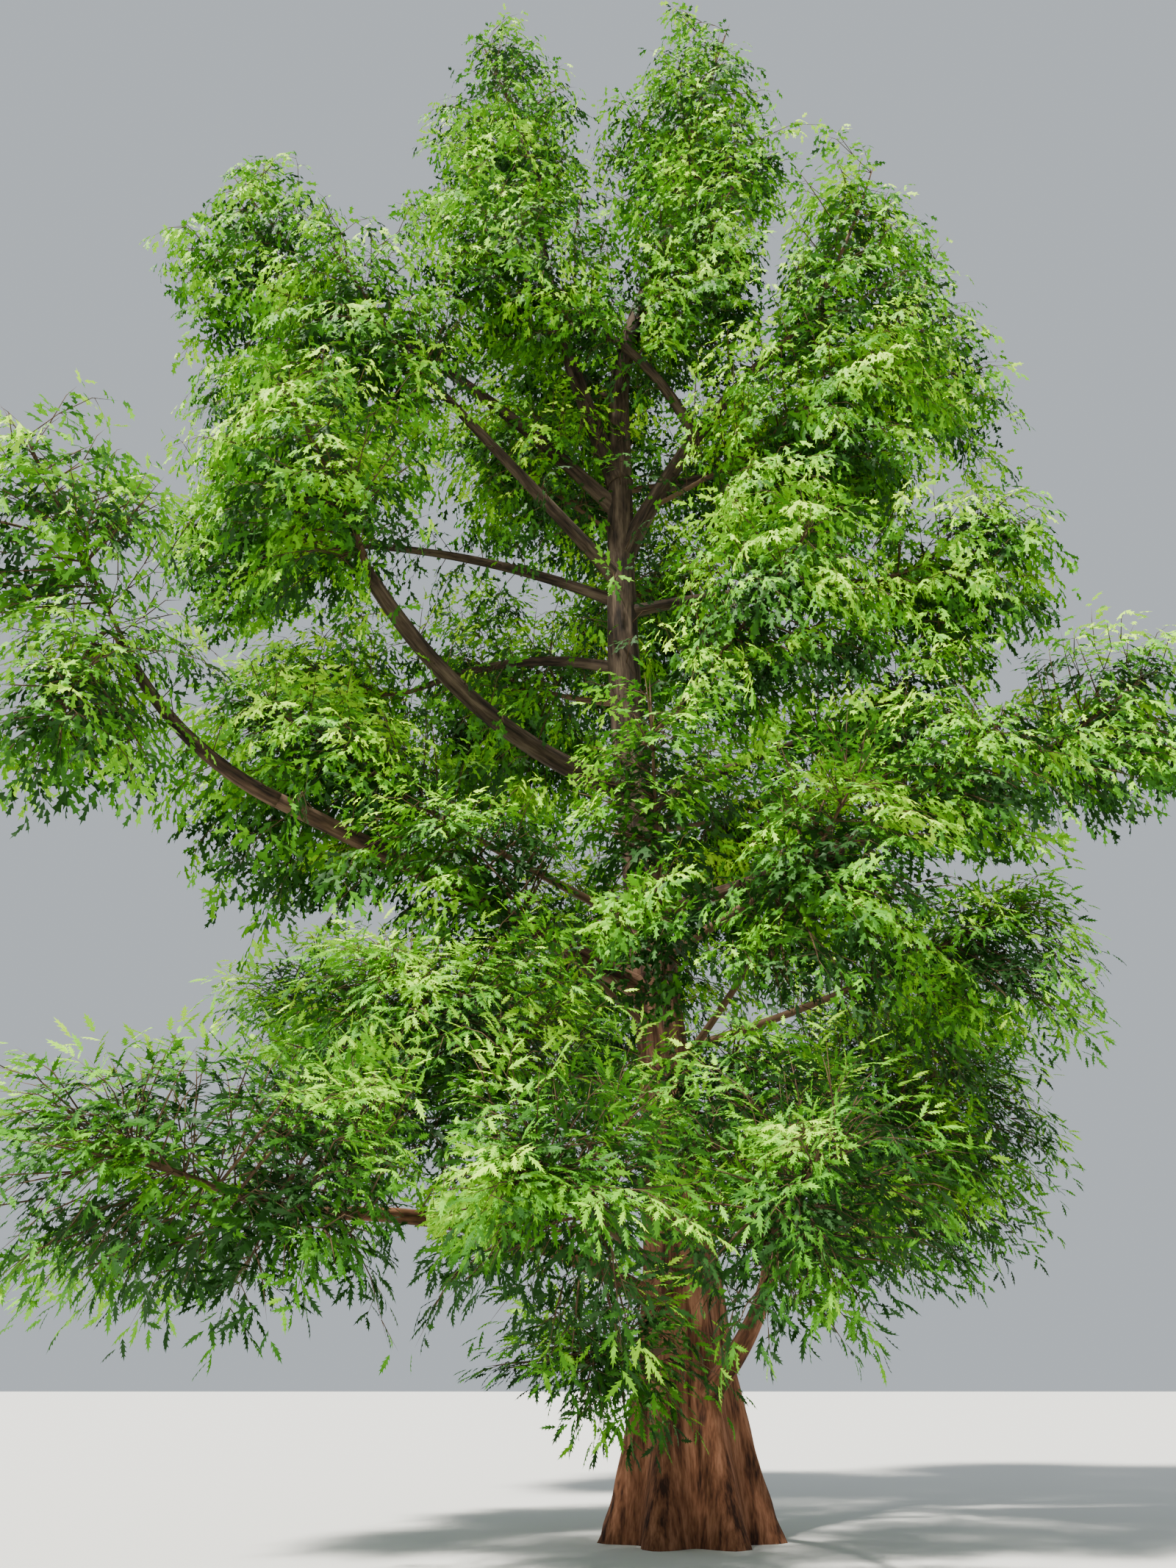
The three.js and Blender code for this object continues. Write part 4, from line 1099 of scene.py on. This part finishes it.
# %% Make the needles of some masses
def spray_mesh(name, members, shape):
    """All the sprays of some masses, each in the shape of the given feather."""
    feather_corners, feather_triangles = shape
    roots, ways, facing, sizes = (np.concatenate([mass.sprays[k] for mass in members]) for k in range(4))
    across = unit_rows(np.cross(facing, ways))
    up = np.cross(ways, across)
    axes = np.stack([ways, across, up], axis=1) * sizes[:, None, None]
    corners = roots[:, None, :] + np.einsum("cd,nde->nce", feather_corners, axes)
    count = len(feather_corners)
    triangles = feather_triangles[None] + count * np.arange(len(roots))[:, None, None]
    greens = np.concatenate([green_with_painted_light(mass) for mass in members])
    piece = joined_mesh(name, corners.reshape(-1, 3), triangles.reshape(-1, 3), needles,
                        np.repeat(greens, len(feather_triangles)))
    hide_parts(*(f"foliage_{mass.name}" for mass in members if mass is not shoots))
    print(name, "has", len(piece.data.polygons), "triangles")


# %% Make the needles of every mass
TRIANGLES_IN_A_PIECE = 190000
NEAR_BELOW = 6.5
low_masses = [mass for mass in masses.values() if mass.middle.z < NEAR_BELOW]
high_masses = [mass for mass in masses.values() if mass.middle.z >= NEAR_BELOW]


def make_needles(name, members, shape):
    """Needle pieces for some masses, each with as many masses as stay below the limit."""
    number, group, total = 1, [], 0
    for mass in members:
        more = len(mass.sprays[0]) * len(shape[1])
        if total + more > TRIANGLES_IN_A_PIECE:
            spray_mesh(f"{name}_{number}", group, shape)
            number, group, total = number + 1, [], 0
        group.append(mass)
        total += more
    spray_mesh(f"{name}_{number}", group, shape)


make_needles("low_needles", low_masses, near_feather)
make_needles("high_needles", high_masses, far_feather)
spray_mesh("shoot_needles", [shoots], far_feather)

# %% [markdown]
# ## Stems and twigs
#
# The stems carry the fans out from the boughs. They are long, thin and tapering, so a tube of a
# few sides that ends in a point is enough: six for a stem, and three for a rib or a side twig,
# which is only a line from the ground. Needles hide the shorter side twigs, so only those over
# 0.29 m are drawn. Stems, ribs and side twigs are joined, each kind apart.


# %% Pointed tubes along many paths
def pointed_tubes(paths, radii, sides):
    """Closed tubes that end in a point, along paths with the same number of points."""
    count, points = paths.shape[:2]
    ahead = unit_rows(np.gradient(paths, axis=1))
    steep = np.abs(ahead[..., 2:3]) > 0.9
    across = unit_rows(np.cross(ahead, np.where(steep, [1.0, 0, 0], [0, 0, 1.0])))
    up = np.cross(across, ahead)
    turns = 2 * math.pi * np.arange(sides) / sides
    spokes = across[:, :, None] * np.cos(turns)[:, None] + up[:, :, None] * np.sin(turns)[:, None]
    rings = paths[:, :, None] + radii[None, :, None, None] * spokes
    corners = np.concatenate([rings[:, :-1].reshape(count, -1, 3), paths[:, -1:]], axis=1)
    this = np.arange(sides)
    following = (this + 1) % sides
    ring = np.arange(points - 2)[:, None] * sides
    walls = [np.stack([ring + this, ring + sides + following, ring + following], axis=-1),
             np.stack([ring + this, ring + sides + this, ring + sides + following], axis=-1)]
    last = (points - 2) * sides
    tip = np.stack([last + this, np.full(sides, last + sides), last + following], axis=-1)
    foot = np.stack([np.zeros(sides - 2, int), this[1:-1], this[2:]], axis=-1)
    pattern = np.concatenate([*(wall.reshape(-1, 3) for wall in walls), tip, foot])
    triangles = pattern[None] + corners.shape[1] * np.arange(count)[:, None, None]
    return corners.reshape(-1, 3), triangles.reshape(-1, 3)


# %% Join the stems
STEM_POINTS = 13
STEM_SIDES = 6
TWIG_SIDES = 3


def wood_piece(name, tubes):
    """Several sets of tubes as one piece of young wood."""
    offsets = np.cumsum([0] + [len(corners) for corners, _ in tubes])
    triangles = [triangles + offset for (_, triangles), offset in zip(tubes, offsets)]
    corners = np.concatenate([corners for corners, _ in tubes])
    piece = joined_mesh(name, corners, np.concatenate(triangles), [shaded_young_wood])
    print(name, "has", len(piece.data.polygons), "triangles")


stem_steps = np.linspace(0, 1, STEM_POINTS)
stem_tubes = []
for mass in masses.values():
    path = np.array([mass.stem.curve(t) for t in stem_steps])
    radii = np.array([mass.stem.radius_at(t, 0) for t in stem_steps])
    stem_tubes.append(pointed_tubes(path[None], radii, STEM_SIDES))
wood_piece("foliage_stems", stem_tubes)

# %% Join the ribs and the side twigs
fan_rib_radii = np.linspace(0.018, 0.006, 5)
frond_rib_radii = np.linspace(FROND.radius, FROND.tip_radius, FROND.points)
side_twig_radii = np.array([SIDE_TWIG.radius, 0])

rib_places = [(k, 0) for k in np.linspace(0, 1, len(fan_rib_radii))[1:]]
fan_ribs = np.array([
    [fan.base, *fan_points(fan, rib_places)] for mass in masses.values() for fan in mass.fans])
frond_ribs = np.array([rib for group in [*masses.values(), shoots] for rib, _, _ in group.fronds])
wood_piece("foliage_ribs", [
    pointed_tubes(fan_ribs, fan_rib_radii, TWIG_SIDES),
    pointed_tubes(frond_ribs, frond_rib_radii, TWIG_SIDES)])
for name, groups in (("low_side_twigs", low_masses), ("high_side_twigs", [*high_masses, shoots])):
    side_twigs = np.concatenate([group.side_twigs for group in groups])
    wood_piece(name, [pointed_tubes(side_twigs, side_twig_radii, TWIG_SIDES)])

# %% [markdown]
# ## Floor, light and camera
#
# The tree stands on a plain pale floor. A large soft sun from the upper left front gives the
# crown its bright tops and dark hollows, which the painted light and shade in the greens make
# stronger, and a pale sky fills the shade. The camera stands at eye level, 16 m in front of the
# trunk and 1.6 m up, and is tilted up by 27 degrees.

# %% Floor
FLOOR_SIZE = 600
floor_shape = bmesh.new()
bmesh.ops.create_grid(floor_shape, x_segments=1, y_segments=1, size=FLOOR_SIZE / 2)
floor_mesh = bpy.data.meshes.new("floor")
floor_shape.to_mesh(floor_mesh)
floor_shape.free()
floor_paint, _ = new_material("floor_paint", Base_Color=linear("dcdcd8"), Roughness=0.9)
floor_mesh.materials.append(floor_paint)
floor = bpy.data.objects.new("floor", floor_mesh)
bpy.context.collection.objects.link(floor)

# %% Light
SUN = SimpleNamespace(
    energy=11.0, angle=math.radians(4), color=(1.0, 0.96, 0.88), shines_to=(0.45, 0.5, -1.0))
SKY = SimpleNamespace(color="dfe8f0", strength=0.7)
sun_lamp = bpy.data.lights.new("sun", "SUN")
sun_lamp.energy = SUN.energy
sun_lamp.angle = SUN.angle
sun_lamp.color = SUN.color
sun = bpy.data.objects.new("sun", sun_lamp)
sun.rotation_euler = Vector(SUN.shines_to).to_track_quat("-Z", "Y").to_euler()
bpy.context.collection.objects.link(sun)
world = bpy.data.worlds.new("studio")
world.use_nodes = True
sky = world.node_tree.nodes["Background"]
sky.inputs["Color"].default_value = linear(SKY.color)
sky.inputs["Strength"].default_value = SKY.strength
bpy.context.scene.world = world

# %% Camera
CAMERA_PLACE = (-1.18, -16.0, 1.6)
TILT = 27
LENS = 27.04
SENSOR = 36
FURTHEST_SEEN = 1000
camera_data = bpy.data.cameras.new("camera")
camera_data.sensor_width = SENSOR
camera_data.lens = LENS
camera_data.clip_end = FURTHEST_SEEN
camera = bpy.data.objects.new("camera", camera_data)
camera.location = CAMERA_PLACE
camera.rotation_euler = (math.radians(90 + TILT), 0, 0)
bpy.context.collection.objects.link(camera)
bpy.context.scene.camera = camera
